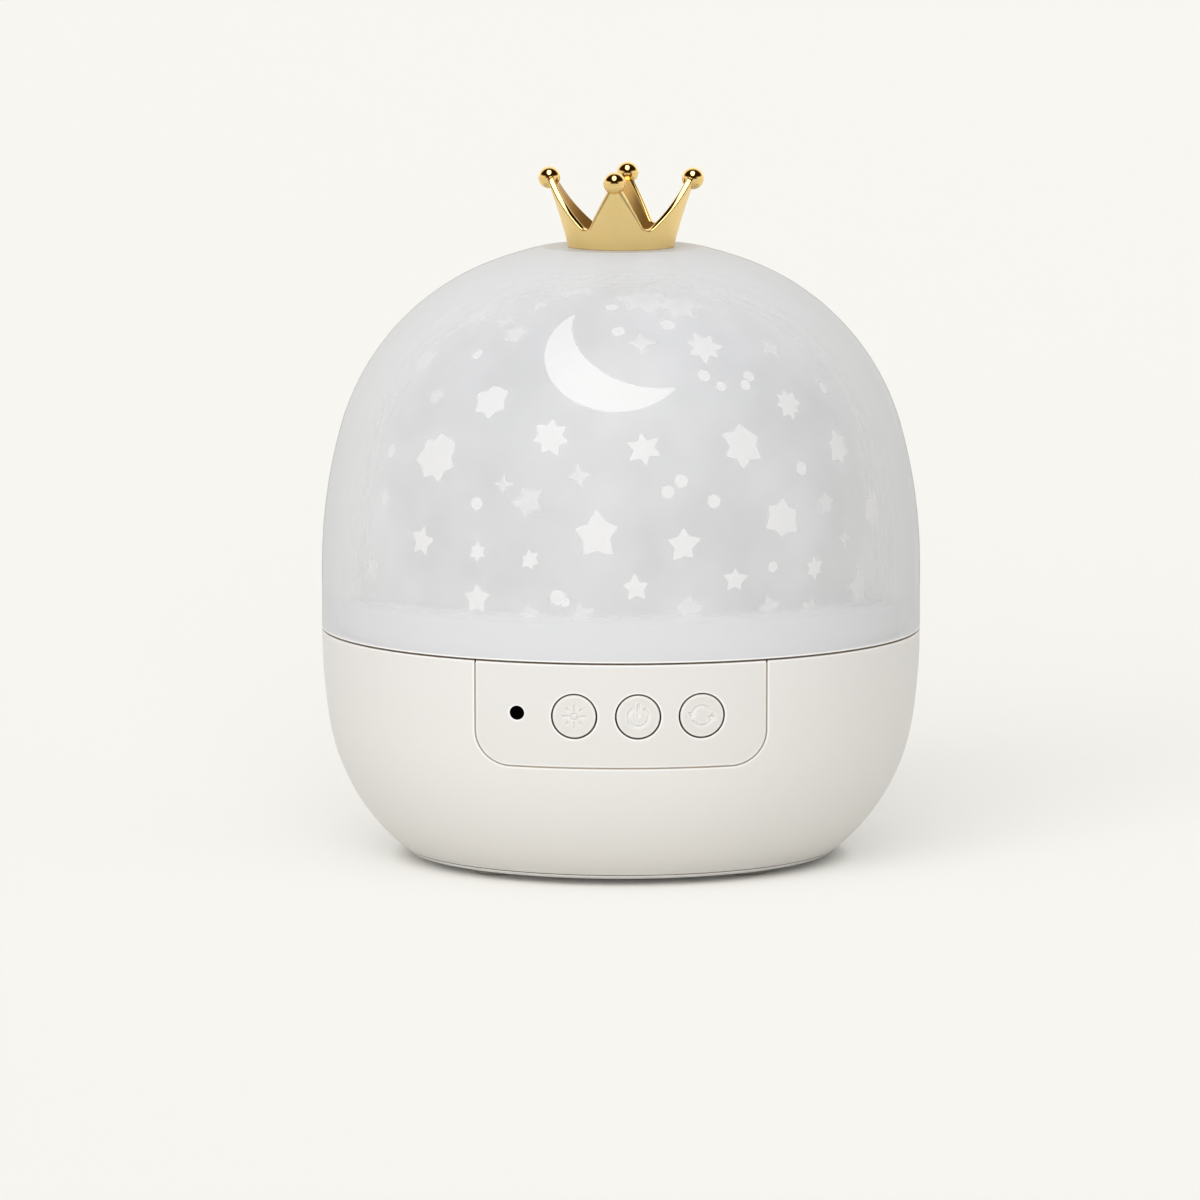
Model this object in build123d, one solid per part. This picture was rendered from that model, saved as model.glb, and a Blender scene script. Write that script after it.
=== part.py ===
"""Star night light: a clear dome over a turning film of stars, on a round base with a button panel.

Millimetres, +Z up. The origin is the middle of the base, on the surface that its rubber feet stand on, and the button
panel faces -Y. Each function below makes one moulding or bought-in piece, and save() writes it as one STEP file.
"""

import os
from math import acos, asin, atan2, cos, degrees, hypot, pi, radians, sin, sqrt, tan

from build123d import *

# ---- outside shape ----
body_radius = 58.42  # half of 4.60 in
foot_height = 1.5  # bottom cover above the table
seam_height = 45.1  # middle of the gap between base and dome
seam_gap = 0.4

bowl_side_radius = 114.3  # the bowl's outline is two tangent arcs, from the seam down to the foot edge
bowl_corner_radius = 40.0
bowl_foot_radius = 41.6  # outline's lower edge
shell_wall = 2.2

dome_straight = 12.0  # upright part of the dome above the seam
dome_rise = 76.0  # seam to the dome's apex, before the crown's seat is cut
dome_side_radius = 101.0  # the dome's outline is three tangent arcs
dome_shoulder_radius = 48.0
dome_top_radius = 71.0
cover_wall = 1.8

# ---- crown ----
crown_seat_drop = 1.7  # flat seat below the apex
crown_base_radius = 10.3
crown_lip_radius = 14.5  # outer radius at the height of the balls' centres
crown_flare = 0.25  # how far the wall bows inwards from a straight cone
crown_height = 15.5  # seat to the top of the balls
crown_wall = 1.3
crown_floor = 1.2
crown_points = 4
crown_turn = -5.2  # the crown is pressed on slightly turned
ball_radius = 2.15
ball_outset = 0.15  # ball's centre from the middle of the wall, away from the axis
valley_height = 3.8  # lowest part of the rim between two points, above the seat
valley_radius = 2.5
valley_turn = 34.0  # valleys from the middle of the front and back points, which are the narrow ones
narrow_slope = 50.0  # side of the front and back points, from level
wide_slope = 34.0  # side of the left and right points
spigot_radius = 3.0
spigot_fit = 0.05
seat_margin = 1.5
spigot_length = 2.1

# ---- film and turntable ----
film_inset = 5.2  # film's outside below the dome's outside
film_wall = 0.8
film_fit = 0.1
turntable_rim_wall = 0.9
turntable_rim_height = 7.8
turntable_floor = 1.8
film_groove_depth = 2.0
gear_module = 1.0
ring_teeth = 60
pinion_teeth = 15
pressure_angle = 20.0
gear_face = 4.0
gear_backlash = 0.12
ring_addendum = 0.7  # of the module, short so that its tips clear the pinion's roots
ring_back = 2.2
hub_radius = 11.5  # the turntable runs on this boss of the deck
hub_wall = 1.6
bush_reach = 4.1  # bush's disc, out from the boss
bush_lip = 2.0
bush_lip_height = 0.8
bush_lip_gap = 0.8  # around the tower's flange
hub_clearance = 0.08
thrust_gap = 0.05
gear_lift = 0.8  # gears above the deck
rim_lift = 1.4  # turntable's rim above the deck

# ---- deck ----
deck_thickness = 2.2
deck_drop = 1.9  # deck's top below the shell's rim
deck_fit = 0.2
ledge_width = 2.6
ledge_thickness = 2.0
wire_bore = 5.0
boss_radius = 3.2
boss_pilot = 1.5
foot_inset = 7.8  # circle of feet, screws and bosses, in from the outline's lower edge
pilot_depth = 12.0

# ---- cover's skirt ----
skirt_wall = 1.3
skirt_clearance = 0.3
skirt_shoulder = 1.8
crush_rib_height = 0.2
crush_rib_radius = 0.6
crush_rib_count = 6

# ---- light tower ----
tower_radius = 6.4
tower_wall = 1.8
tower_flange = 1.5
tower_flange_radius = 13.0
tower_gap = 0.15  # under the flange that keeps the turntable down
tower_rise = 12.8  # between the tower's two flanges
tower_head_radius = 8.0
led_board_radius = 6.9
led_board_thickness = 1.2
led_side = 5.0
led_height = 1.5
lens_wall = 0.95
tower_screw_circle = 9.0
tower_screw_count = 3

# ---- motor ----
motor_radius = 12.0
motor_length = 16.0
motor_offset = 7.0  # shaft from the can's middle
motor_ear_spacing = 31.0
motor_ear_thickness = 1.0
motor_ear_radius = 3.0
motor_plug_width = 14.0
motor_plug_reach = 2.5
motor_plug_inset = 2.0
motor_boss_radius = 4.5
motor_boss_height = 1.5
shaft_radius = 1.5
shaft_clearance = 0.04

# ---- button panel ----
panel_width = 55.0
panel_below = 9.9  # from the buttons' row to the panel's lower edge
panel_corner = 6.5
panel_gap = 0.3
panel_lip = 2.0
panel_lip_wall = 1.5
glue_gap = 0.1
button_headroom = 0.6  # between the buttons' flanges and the deck
button_places = {"light": -8.85, "power": 3.25, "rotate": 15.3}
button_radius = 4.1
button_gap = 0.3
button_flange_radius = 5.2
button_flange = 1.2
button_stem_radius = 1.6
button_edge = 0.25
button_travel = 0.5
collar_wall = 1.2
collar_inset = 5.82  # the collars end on a flat plane, this far inside the widest part
flange_play = 0.1
window_place = -19.7
window_radius = 1.33
window_fit = 0.05
window_sink = 0.25
window_rise = 0.35  # above the buttons' row
receiver_size = (5.4, 5.0)  # across and up
receiver_height = 6.2  # front of the receiver's lens from the board
receiver_lens = 1.2

# ---- main board ----
board_gap = 7.6  # from the collars' plane back to the main board's face
board_thickness = 1.6
board_left = -25.0
board_right = 24.0
board_below = 7.4  # from the buttons' row to the board's edges
board_above = 5.0
switch_side = 6.0
switch_depth = 3.5
plunger_radius = 1.7
plunger_sink = 1.2
plunger_fit = 0.05
post_radius = 2.3
post_inset = 2.6  # board edge to post axis
chip_side = 7.0
chip_height = 1.2
chip_place = 6.0
header_place = 15.0
header_width = 7.0
header_depth = 4.5
header_tall = 5.0

# ---- power inlet ----
inlet_height = 30.0
inlet_width = 12.6
inlet_tall = 7.2
inlet_depth = 4.9
inlet_wall = 1.2
socket_width = 8.94
socket_tall = 3.2
socket_length = 7.35
socket_fit = 0.18
socket_metal = 0.3
socket_tongue_width = 6.2
socket_tongue_thickness = 0.7
inlet_board_width = 20.0
inlet_board_length = 13.0
inlet_board_thickness = 1.2
inlet_post_radius = 2.4
inlet_post_spacing = 14.0

# ---- bottom cover, battery bay and feet ----
parting_height = 0.7  # bottom cover's edge, above its underside
parting_gap = 0.15
flange_width = 1.4  # shell's flange, in from the outline's lower edge
cover_fit = 0.2
bottom_thickness = 2.6
shell_foot = 1.8  # thickness of the shell's flange round that opening
foot_radius = 4.5
foot_sink = 0.8
foot_fit = 0.1
pad_radius = 5.2
pad_web = 1.3
foot_screw_gap = 0.2
cell_radius = 5.25
cell_length = 43.3
cell_nub_length = 1.2
cell_nub_radius = 1.9
cell_pitch = 10.8
cell_count = 3
cell_clearance = 0.3
contact_room = 2.4
contact_metal = 0.4
contact_width = 7.0
bay_wall = 1.2
bay_roof = 1.2
door_thickness = 2.0
door_ledge = 1.5
door_gap = 0.25
door_corner = 2.0
tongue_reach = 3.4  # door's edge to its screw
tongue_radius = 4.2
ridge_count = 5
ridge_pitch = 2.4
ridge_width = 1.0
ridge_length = 16.0
ridge_depth = 0.4

# ---- screws ----
screw_clearance = 0.05
big_head_radius = 2.6
big_head_height = 1.6
big_screw_length = 9.0
small_screw_radius = 0.95
small_head_radius = 1.8
small_head_height = 1.2
small_screw_length = 6.0


# ---- sizes and heights that follow from the ones above ----
opening_radius = bowl_foot_radius - flange_width
boss_circle = bowl_foot_radius - foot_inset
big_screw_head = (big_head_radius, big_head_height)
small_screw_head = (small_head_radius, small_head_height)
rim_z = seam_height - seam_gap / 2
cover_z = seam_height + seam_gap / 2
apex_z = seam_height + dome_rise
seat_z = apex_z - crown_seat_drop
ball_z = seat_z + crown_height - ball_radius
deck_top = rim_z - deck_drop
deck_under = deck_top - deck_thickness
button_height = deck_under - button_headroom - button_flange_radius
window_height = button_height + window_rise
panel_bottom = button_height - panel_below
board_bottom = button_height - board_below
board_top = button_height + board_above
gear_z = deck_top + gear_lift
web_z = gear_z + gear_face
hub_top = web_z + turntable_floor
tower_z = hub_top + tower_gap
rim_bottom = deck_top + rim_lift
rim_top = rim_bottom + turntable_rim_height
groove_z = rim_top - film_groove_depth
tower_head_z = tower_z + tower_flange + tower_rise
led_board_z = tower_head_z + tower_flange
parting_z = foot_height + parting_height
shell_low_z = parting_z + parting_gap
floor_z = foot_height + bottom_thickness
pad_z = foot_height + foot_sink + big_head_height + foot_screw_gap + pad_web
door_top = foot_height + door_thickness
cell_z = door_top + cell_clearance + cell_radius
roof_z = cell_z + cell_radius + cell_clearance
bay_half_x = cell_pitch * (cell_count - 1) / 2 + cell_radius + cell_clearance
bay_half_y = (cell_length + cell_nub_length) / 2 + contact_room
ring_radius = gear_module * ring_teeth / 2
pinion_radius = gear_module * pinion_teeth / 2
gear_centres = ring_radius - pinion_radius
collar_plane = body_radius - collar_inset
board_plane = collar_plane - board_gap
receiver_face = board_plane + receiver_height
switch_face = board_plane + switch_depth
plunger_tip = switch_face + 0.7
board_back = board_plane - board_thickness
shaft_low = deck_under - 7
tongue_y = bay_half_y + door_ledge + tongue_reach
inlet_board_z = inlet_height - socket_tall / 2 - inlet_board_thickness


def meet(centre_a, radius_a, centre_b, radius_b):
    """The point at radius_a from centre_a and radius_b from centre_b, on the left of the way from a to b."""
    dx, dz = centre_b[0] - centre_a[0], centre_b[1] - centre_a[1]
    span = hypot(dx, dz)
    along = (radius_a**2 - radius_b**2 + span**2) / (2 * span)
    off = sqrt(radius_a**2 - along**2)
    return (
        centre_a[0] + (along * dx - off * dz) / span,
        centre_a[1] + (along * dz + off * dx) / span,
    )


def heading(start, end):
    """Angle of the way from start to end, in radians."""
    return atan2(end[1] - start[1], end[0] - start[0])


def arc(centre, radius, start, end):
    """Arc in the drawing plane, from angle start to angle end, in radians."""
    return CenterArc(centre, radius, degrees(start), degrees(end - start))


def turned(*edges):
    """Solid of revolution about Z from a closed outline drawn as (radius, height)."""
    return revolve(Plane.XZ * make_face(edges), Axis.Z)


# The bowl's two arcs touch where the line through their centres leaves them.
bowl_side_centre = (body_radius - bowl_side_radius, seam_height)
bowl_foot = (bowl_foot_radius, foot_height)
bowl_corner_centre = meet(
    bowl_side_centre,
    bowl_side_radius - bowl_corner_radius,
    bowl_foot,
    bowl_corner_radius,
)
bowl_tangent = heading(bowl_side_centre, bowl_corner_centre)

# The dome's three arcs: side, shoulder and top.
dome_spring = (body_radius - dome_side_radius, seam_height + dome_straight)
dome_top_centre = (0, apex_z - dome_top_radius)
dome_shoulder_centre = meet(
    dome_top_centre,
    dome_top_radius - dome_shoulder_radius,
    dome_spring,
    dome_side_radius - dome_shoulder_radius,
)
if dome_shoulder_centre[1] < dome_top_centre[1]:
    dome_shoulder_centre = meet(
        dome_spring,
        dome_side_radius - dome_shoulder_radius,
        dome_top_centre,
        dome_top_radius - dome_shoulder_radius,
    )
dome_side_end = heading(dome_spring, dome_shoulder_centre)
dome_shoulder_end = heading(dome_top_centre, dome_shoulder_centre)


def bowl_radius(height, inset=0.0):
    """Radius of the bowl's outline at a height, with a wall's thickness taken off."""
    side, corner = bowl_side_radius - inset, bowl_corner_radius - inset
    if height > bowl_side_centre[1] + side * sin(bowl_tangent):
        return bowl_side_centre[0] + sqrt(side**2 - (height - bowl_side_centre[1]) ** 2)
    return bowl_corner_centre[0] + sqrt(corner**2 - (height - bowl_corner_centre[1]) ** 2)


def bowl(inset, low, high):
    """Solid inside the bowl's outline between two heights, with a wall's thickness taken off."""
    side, corner = bowl_side_radius - inset, bowl_corner_radius - inset
    bend = bowl_side_centre[1] + side * sin(bowl_tangent)
    edges = [Line((0, low), (bowl_radius(low, inset), low))]
    if low < bend:
        start, end = (asin((z - bowl_corner_centre[1]) / corner) for z in (low, min(high, bend)))
        edges.append(arc(bowl_corner_centre, corner, start, end))
    if high > bend:
        start, end = (asin((z - bowl_side_centre[1]) / side) for z in (max(low, bend), high))
        edges.append(arc(bowl_side_centre, side, start, end))
    edges += [Line((bowl_radius(high, inset), high), (0, high)), Line((0, high), (0, low))]
    return turned(*edges)


def dome(inset, low):
    """Solid inside the dome's outline above a height, with a wall's thickness taken off."""
    radius = body_radius - inset
    return turned(
        Line((0, low), (radius, low)),
        Line((radius, low), (radius, dome_spring[1])),
        arc(dome_spring, dome_side_radius - inset, 0, dome_side_end),
        arc(dome_shoulder_centre, dome_shoulder_radius - inset, dome_side_end, dome_shoulder_end),
        arc(dome_top_centre, dome_top_radius - inset, dome_shoulder_end, pi / 2),
        Line((0, apex_z - inset), (0, low)),
    )


def rod(radius, low, high, x=0.0, y=0.0):
    """Upright cylinder between two heights."""
    return Pos(x, y, low) * extrude(Circle(radius), high - low)


def ring(inner, outer, low, high, x=0.0, y=0.0):
    """Upright tube between two heights."""
    return rod(outer, low, high, x, y) - rod(inner, low - 1, high + 1, x, y)


def bar(radius, front, back, x, z):
    """Cylinder along Y, between two distances in front of the axis."""
    return Pos(x, -front, z) * Rot(-90, 0, 0) * extrude(Circle(radius), front - back)


def block(x, y, z):
    """Box between pairs of limits."""
    size = Box(x[1] - x[0], y[1] - y[0], z[1] - z[0])
    return Pos((x[0] + x[1]) / 2, (y[0] + y[1]) / 2, (z[0] + z[1]) / 2) * size


def slab(width, depth, corner, low, high):
    """Upright block with rounded corners, about the axis."""
    return Pos(0, 0, low) * extrude(RectangleRounded(width, depth, corner), high - low)


def around(count, radius, start=0.0):
    """Places evenly spaced on a circle, as (x, y)."""
    steps = [radians(start + 360 * i / count) for i in range(count)]
    return [(radius * cos(a), radius * sin(a)) for a in steps]


def save(shape, node):
    """Writes one node, whose solids stay separate."""
    export_step(Compound(children=list(shape.solids())), f"parts/{node}.step")


# ---- gears ----
def gear_outline(teeth, tip, root, play):
    """Involute gear outline: a tooth points along +X, and play is taken off each tooth's thickness."""
    pitch = gear_module * teeth / 2
    base = pitch * cos(radians(pressure_angle))
    half_tooth = pi / (2 * teeth) - play / (2 * pitch)
    spread = tan(radians(pressure_angle)) - radians(pressure_angle)

    def flank(radius):
        turn = acos(min(1, base / radius))
        return half_tooth + spread - (tan(turn) - turn)

    start = max(root, base)
    levels = [start + (tip - start) * i / 3 for i in range(4)]
    edges = []
    for tooth in range(teeth):
        middle = 2 * pi * tooth / teeth
        rise = [(r * cos(middle - flank(r)), r * sin(middle - flank(r))) for r in levels]
        fall = [(r * cos(middle + flank(r)), r * sin(middle + flank(r))) for r in reversed(levels)]
        foot = flank(start)
        low_left = (root * cos(middle - foot), root * sin(middle - foot))
        low_right = (root * cos(middle + foot), root * sin(middle + foot))
        after = middle + 2 * pi / teeth - foot
        if root < start:
            edges.append(Line(low_left, rise[0]))
            edges.append(Line(fall[-1], low_right))
        edges.append(Spline(*rise))
        edges.append(ThreePointArc(rise[-1], (tip * cos(middle), tip * sin(middle)), fall[0]))
        edges.append(Spline(*fall))
        halfway = (middle + foot + after) / 2
        next_left = (root * cos(after), root * sin(after))
        edges.append(ThreePointArc(low_right, (root * cos(halfway), root * sin(halfway)), next_left))
    return make_face(edges)


def drive_pinion():
    """Pinion on the motor's shaft, with a tooth in the ring's gap at -X."""
    tip, root = pinion_radius + gear_module, pinion_radius - 1.25 * gear_module
    low = gear_z - 0.1
    teeth = extrude(gear_outline(pinion_teeth, tip, root, gear_backlash / 2), gear_face - 0.3)
    gear = Pos(-gear_centres, 0, low) * Rot(0, 0, 180) * teeth
    return gear - rod(shaft_radius + shaft_clearance / 2, low - 1, low + gear_face, -gear_centres)


def turntable():
    """Tray that carries the film: rim with a groove, floor and ring gear in one moulding."""
    film_out = body_radius - film_inset
    rim_out = film_out + film_fit + turntable_rim_wall
    rim_in = film_out - film_wall - film_fit - turntable_rim_wall
    bore = hub_radius + bush_reach
    ring_tip = ring_radius - ring_addendum * gear_module
    ring_root = ring_radius + 1.25 * gear_module
    tray = ring(bore, rim_out, web_z, hub_top)
    tray += ring(rim_in, rim_out, rim_bottom, rim_top)
    tray -= ring(film_out - film_wall - film_fit, film_out + film_fit, groove_z, rim_top + 1)
    gaps = extrude(gear_outline(ring_teeth, ring_root, ring_tip, -gear_backlash / 2), gear_face)
    return tray + (rod(ring_root + ring_back, gear_z, web_z) - Pos(0, 0, gear_z) * gaps)


def hub_bush():
    """Slippery bush pressed into the tray: a sleeve that runs on the deck's boss, and a lip on the tray's floor."""
    bush = ring(hub_radius + hub_clearance, hub_radius + hub_wall, gear_z, hub_top)
    bush += ring(hub_radius + hub_clearance, hub_radius + bush_reach, web_z, hub_top)
    lip_in = tower_flange_radius + bush_lip_gap
    return bush + ring(lip_in, hub_radius + bush_reach + bush_lip, hub_top, hub_top + bush_lip_height)


# ---- dome side ----
def outer_cover():
    """Clear dome: thin shell, flat seat for the crown, and a skirt that drops inside the shell's rim."""
    shell = dome(0, cover_z) - dome(cover_wall, cover_z - 1)
    seat = rod(crown_base_radius + seat_margin, seat_z - spigot_length, seat_z)
    lid = body_radius * 2
    shell = (shell + seat) - block((-lid, lid), (-lid, lid), (seat_z, apex_z + 5))
    skirt_out = body_radius - shell_wall - skirt_clearance
    skirt_in = skirt_out - skirt_wall
    shell += ring(skirt_in, body_radius - cover_wall / 2, cover_z, cover_z + skirt_shoulder)
    shell += ring(skirt_in, skirt_out, deck_top, cover_z + skirt_shoulder)
    for x, y in around(crush_rib_count, skirt_out - crush_rib_radius, 180 / crush_rib_count):
        shell += rod(crush_rib_radius + crush_rib_height, deck_top + seam_gap, cover_z + 0.1, x, y)
    return shell - rod(spigot_radius + spigot_fit, seat_z - 2 * spigot_length - cover_wall, seat_z + 1)


def projection_film():
    """Thin moulded dome that carries the printed stars and stands in the turntable's groove."""
    return dome(film_inset, groove_z) - dome(film_inset + film_wall, groove_z - 1)


def crown():
    """Plated crown: a flared wall cut into points, a ball on each, a floor and a spigot below."""
    low, high = (crown_base_radius, seat_z), (crown_lip_radius, ball_z)
    middle = ((low[0] + high[0]) / 2 - crown_flare, (low[1] + high[1]) / 2)
    inner_low, inner_high = (low[0] - crown_wall, low[1]), (high[0] - crown_wall, high[1])
    inner_middle = (middle[0] - crown_wall, middle[1])
    wall = turned(
        ThreePointArc(low, middle, high),
        Line(high, inner_high),
        ThreePointArc(inner_high, inner_middle, inner_low),
        Line(inner_low, low),
    )
    narrow, wide = radians(narrow_slope), radians(wide_slope)
    top = crown_height + 2
    left = (-valley_radius * sin(narrow), valley_height + valley_radius * (1 - cos(narrow)))
    right = (valley_radius * sin(wide), valley_height + valley_radius * (1 - cos(wide)))
    far_left = (left[0] - (top - left[1]) / tan(narrow), top)
    far_right = (right[0] + (top - right[1]) / tan(wide), top)

    def valley(distance):
        share = distance / crown_lip_radius
        a, b, c, d = [(x * share, z) for x, z in (left, right, far_right, far_left)]
        edges = [ThreePointArc(a, (0, valley_height), b), Line(b, c), Line(c, d), Line(d, a)]
        return Pos(0, -distance, seat_z) * (Plane.XZ * make_face(edges))

    cutter = loft([valley(crown_base_radius / 2), valley(crown_lip_radius + 1)], ruled=True)
    for side in (0, 180):
        beside = Rot(0, 0, valley_turn) * cutter
        wall -= Rot(0, 0, side) * beside
        wall -= Rot(0, 0, side) * mirror(beside, about=Plane.YZ)
    shape = wall + rod(crown_base_radius - crown_wall / 2, seat_z, seat_z + crown_floor)
    shape += rod(spigot_radius, seat_z - spigot_length, seat_z)
    ball = Pos(crown_lip_radius - crown_wall / 2 + ball_outset, 0, ball_z) * Sphere(ball_radius)
    for i in range(crown_points):
        shape += Rot(0, 0, i * 360 / crown_points - 90) * ball
    return Rot(0, 0, crown_turn) * shape


# ---- housing ----
def panel_prism(offset):
    """Block towards -Y with the panel's outline grown by an offset. Its top is above the rim."""
    tall = 2 * body_radius
    middle = Pos(0, panel_bottom - offset + tall / 2)
    outline = middle * RectangleRounded(panel_width + 2 * offset, tall, panel_corner + offset)
    return extrude(Plane.XZ * outline, body_radius + 10)


def base_shell():
    """Round housing: open top and bottom, a lipped window for the panel, and a recess for the socket."""
    shell = bowl(0, shell_low_z, rim_z) - bowl(shell_wall, shell_low_z + shell_foot, rim_z + 1)
    shell -= rod(opening_radius, 0, floor_z + 2)
    ledge_in = bowl_radius(deck_under, shell_wall) - ledge_width
    shell += ring(ledge_in, body_radius - shell_wall / 2, deck_under - ledge_thickness, deck_under)
    lip = bowl(shell_wall - 0.1, panel_bottom - panel_lip - 2, deck_under) - bowl(
        shell_wall + panel_lip_wall, panel_bottom - panel_lip - 3, deck_under + 1
    )
    shell += lip & panel_prism(panel_gap + panel_lip)
    shell -= panel_prism(panel_gap) - bowl(shell_wall, shell_low_z, rim_z + 2)
    shell -= panel_prism(-panel_lip)
    back = bowl_radius(inlet_height)
    half_x, half_z = inlet_width / 2, inlet_tall / 2
    cup = block(
        (-half_x - inlet_wall, half_x + inlet_wall),
        (back - inlet_depth - inlet_wall, back + 2),
        (inlet_height - half_z - inlet_wall, inlet_height + half_z + inlet_wall),
    )
    shell += cup & bowl(0, shell_low_z, rim_z)
    shell -= block(
        (-half_x, half_x),
        (back - inlet_depth, back + 2),
        (inlet_height - half_z, inlet_height + half_z),
    )
    hole_x, hole_z = socket_width / 2 + socket_fit, socket_tall / 2 + socket_fit
    return shell - block(
        (-hole_x, hole_x),
        (back - inlet_depth - inlet_wall - 1, back),
        (inlet_height - hole_z, inlet_height + hole_z),
    )


def deck():
    """Upper plate: closes the shell, guides the turntable on its boss and carries the motor and the tower."""
    edge = bowl_radius(deck_under, shell_wall) - deck_fit
    plate = rod(edge, deck_under, deck_top) + rod(hub_radius, deck_under, tower_z)
    for x, y in around(4, boss_circle, 45):
        plate += rod(boss_radius, pad_z, deck_under, x, y)
        plate -= rod(boss_pilot, pad_z - 1, pad_z + pilot_depth, x, y)
    for x, y in inlet_places():
        plate += rod(inlet_post_radius, inlet_board_z + inlet_board_thickness, deck_under, x, y)
        plate -= rod(small_screw_radius + screw_clearance, inlet_board_z, deck_under - 2, x, y)
    for x, y in around(tower_screw_count, tower_screw_circle, 90):
        plate -= rod(small_screw_radius + screw_clearance, tower_z - small_screw_length, tower_z + 1, x, y)
    for x, y in motor_ears():
        plate -= rod(small_screw_radius + screw_clearance, deck_under - 1, deck_top + 1, x, y)
    plate -= rod(motor_boss_radius + 0.1, deck_under - 1, deck_top + 1, -gear_centres)
    return plate - rod(wire_bore, deck_under - 1, tower_z + 1)


def bottom_cover():
    """Bottom plate: outer edge, screw pads over the feet, and the battery bay with its door's recess."""
    plate = bowl(0, foot_height, parting_z)
    plate += rod(opening_radius - cover_fit, parting_z - 0.1, floor_z)
    box_x, box_y = 2 * (bay_half_x + bay_wall), 2 * (bay_half_y + bay_wall)
    plate += slab(box_x, box_y, door_corner, floor_z - 1, roof_z + bay_roof)
    for x, y in around(4, boss_circle, 45):
        plate += rod(pad_radius, floor_z - 1, pad_z, x, y)
    for y in (-tongue_y, tongue_y):
        plate += rod(boss_radius, floor_z - 1, door_top + small_screw_length, 0, y)
    plate -= slab(2 * bay_half_x, 2 * bay_half_y, door_corner, 0, roof_z)
    plate -= door_outline(door_gap, 0, door_top)
    head_radius, head_height = big_screw_head
    for x, y in around(4, boss_circle, 45):
        plate -= rod(foot_radius + foot_fit, 0, foot_height + foot_sink, x, y)
        plate -= rod(head_radius + 0.1, 0, pad_z - pad_web, x, y)
        plate -= rod(boss_pilot, 0, pad_z + 1, x, y)
    for y in (-tongue_y, tongue_y):
        plate -= rod(small_screw_radius + screw_clearance, 0, door_top + small_screw_length - 1, 0, y)
    return plate


def door_outline(offset, low, high):
    """Battery door's outline, a plate with a rounded tongue at each end, grown by an offset."""
    half_x, half_y = bay_half_x + door_ledge + offset, bay_half_y + door_ledge + offset
    plate = slab(2 * half_x, 2 * half_y, door_corner + offset, low, high)
    width = 2 * (tongue_radius + offset)
    return plate + slab(width, 2 * tongue_y + width, width / 2 - 0.01, low, high)


def battery_door():
    """Door over the cells, with a sunk seat for a screw in each tongue and finger ridges between them."""
    door = door_outline(0, foot_height, door_top)
    head_radius, head_height = small_screw_head
    for y in (-tongue_y, tongue_y):
        door -= rod(head_radius + 0.1, 0, foot_height + head_height, 0, y)
        door -= rod(small_screw_radius + screw_clearance, 0, door_top + 1, 0, y)
    for i in range(ridge_count):
        x = (i - (ridge_count - 1) / 2) * ridge_pitch
        half_x, half_y = ridge_width / 2, ridge_length / 2
        door -= block((x - half_x, x + half_x), (-half_y, half_y), (0, foot_height + ridge_depth))
    return door


def rubber_feet():
    """Four soft feet, each sunk over a housing screw."""
    feet = []
    for x, y in around(4, boss_circle, 45):
        foot = rod(foot_radius, 0, foot_height + foot_sink, x, y)
        feet.append(fillet(foot.edges().group_by(Axis.Z)[0], 0.6))
    return Compound(children=feet)


# ---- button panel ----
def control_panel():
    """Inset panel with three guided button holes, a window hole and posts for the main board."""
    back = shell_wall - glue_gap
    skin = bowl(0, panel_bottom - 5, rim_z) - bowl(back, panel_bottom - 6, rim_z + 1)
    panel = skin & panel_prism(0)
    inside = bowl(back / 2, panel_bottom - 5, rim_z)
    for x in button_places.values():
        collar = bar(button_radius + button_gap + collar_wall, body_radius, collar_plane, x, button_height)
        panel += collar & inside
        panel -= bar(button_flange_radius + 0.3, collar_plane, board_plane, x, button_height)
        panel -= bar(button_radius + button_gap, body_radius + 5, board_plane, x, button_height)
    for x, z in post_places():
        panel += bar(post_radius, body_radius, board_plane, x, z) & inside
        pilot_end = board_plane + small_screw_length - board_thickness
        panel -= bar(small_screw_radius + screw_clearance, pilot_end, board_plane - 1, x, z)
    return panel - bar(window_radius + window_fit, body_radius + 5, board_plane, window_place, window_height)


def button(place):
    """Round button: a cap that follows the housing's curve, a flange that stops it and a stem."""
    face = bar(button_radius, body_radius, collar_plane - flange_play, place, button_height)
    cap = face & bowl(0, panel_bottom, rim_z)
    rim = cap.edges().group_by(Axis.Y)[0]
    cap = fillet(rim, button_edge)
    flange_back = collar_plane - flange_play - button_flange
    cap += bar(button_flange_radius, collar_plane - flange_play, flange_back, place, button_height)
    return cap + bar(button_stem_radius, flange_back, plunger_tip, place, button_height)


def plunger(place):
    """Plunger of a tact switch, which moves with its button."""
    return bar(plunger_radius, plunger_tip, switch_face - plunger_sink, place, button_height)


def tact_switches():
    """Bodies of the three switches, each with a well for its plunger."""
    bodies = []
    half = switch_side / 2
    for x in button_places.values():
        body = block(
            (x - half, x + half),
            (-switch_face, -board_plane),
            (button_height - half, button_height + half),
        )
        well = switch_face - plunger_sink - button_travel - 0.2
        bodies.append(body - bar(plunger_radius + plunger_fit, switch_face + 1, well, x, button_height))
    return Compound(children=bodies)


def remote_window():
    """Dark plug in front of the infrared receiver, a little below the panel's face."""
    plug = bar(window_radius, body_radius, receiver_face, window_place, window_height)
    return plug & bowl(window_sink, panel_bottom, rim_z)


def infrared_receiver():
    """Receiver on the main board, with the round lens in its face."""
    half_x, half_z = receiver_size[0] / 2, receiver_size[1] / 2
    body = block(
        (window_place - half_x, window_place + half_x),
        (-receiver_face + receiver_lens, -board_plane),
        (window_height - half_z, window_height + half_z),
    )
    return body + bar(window_radius, receiver_face, board_plane, window_place, window_height)


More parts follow.
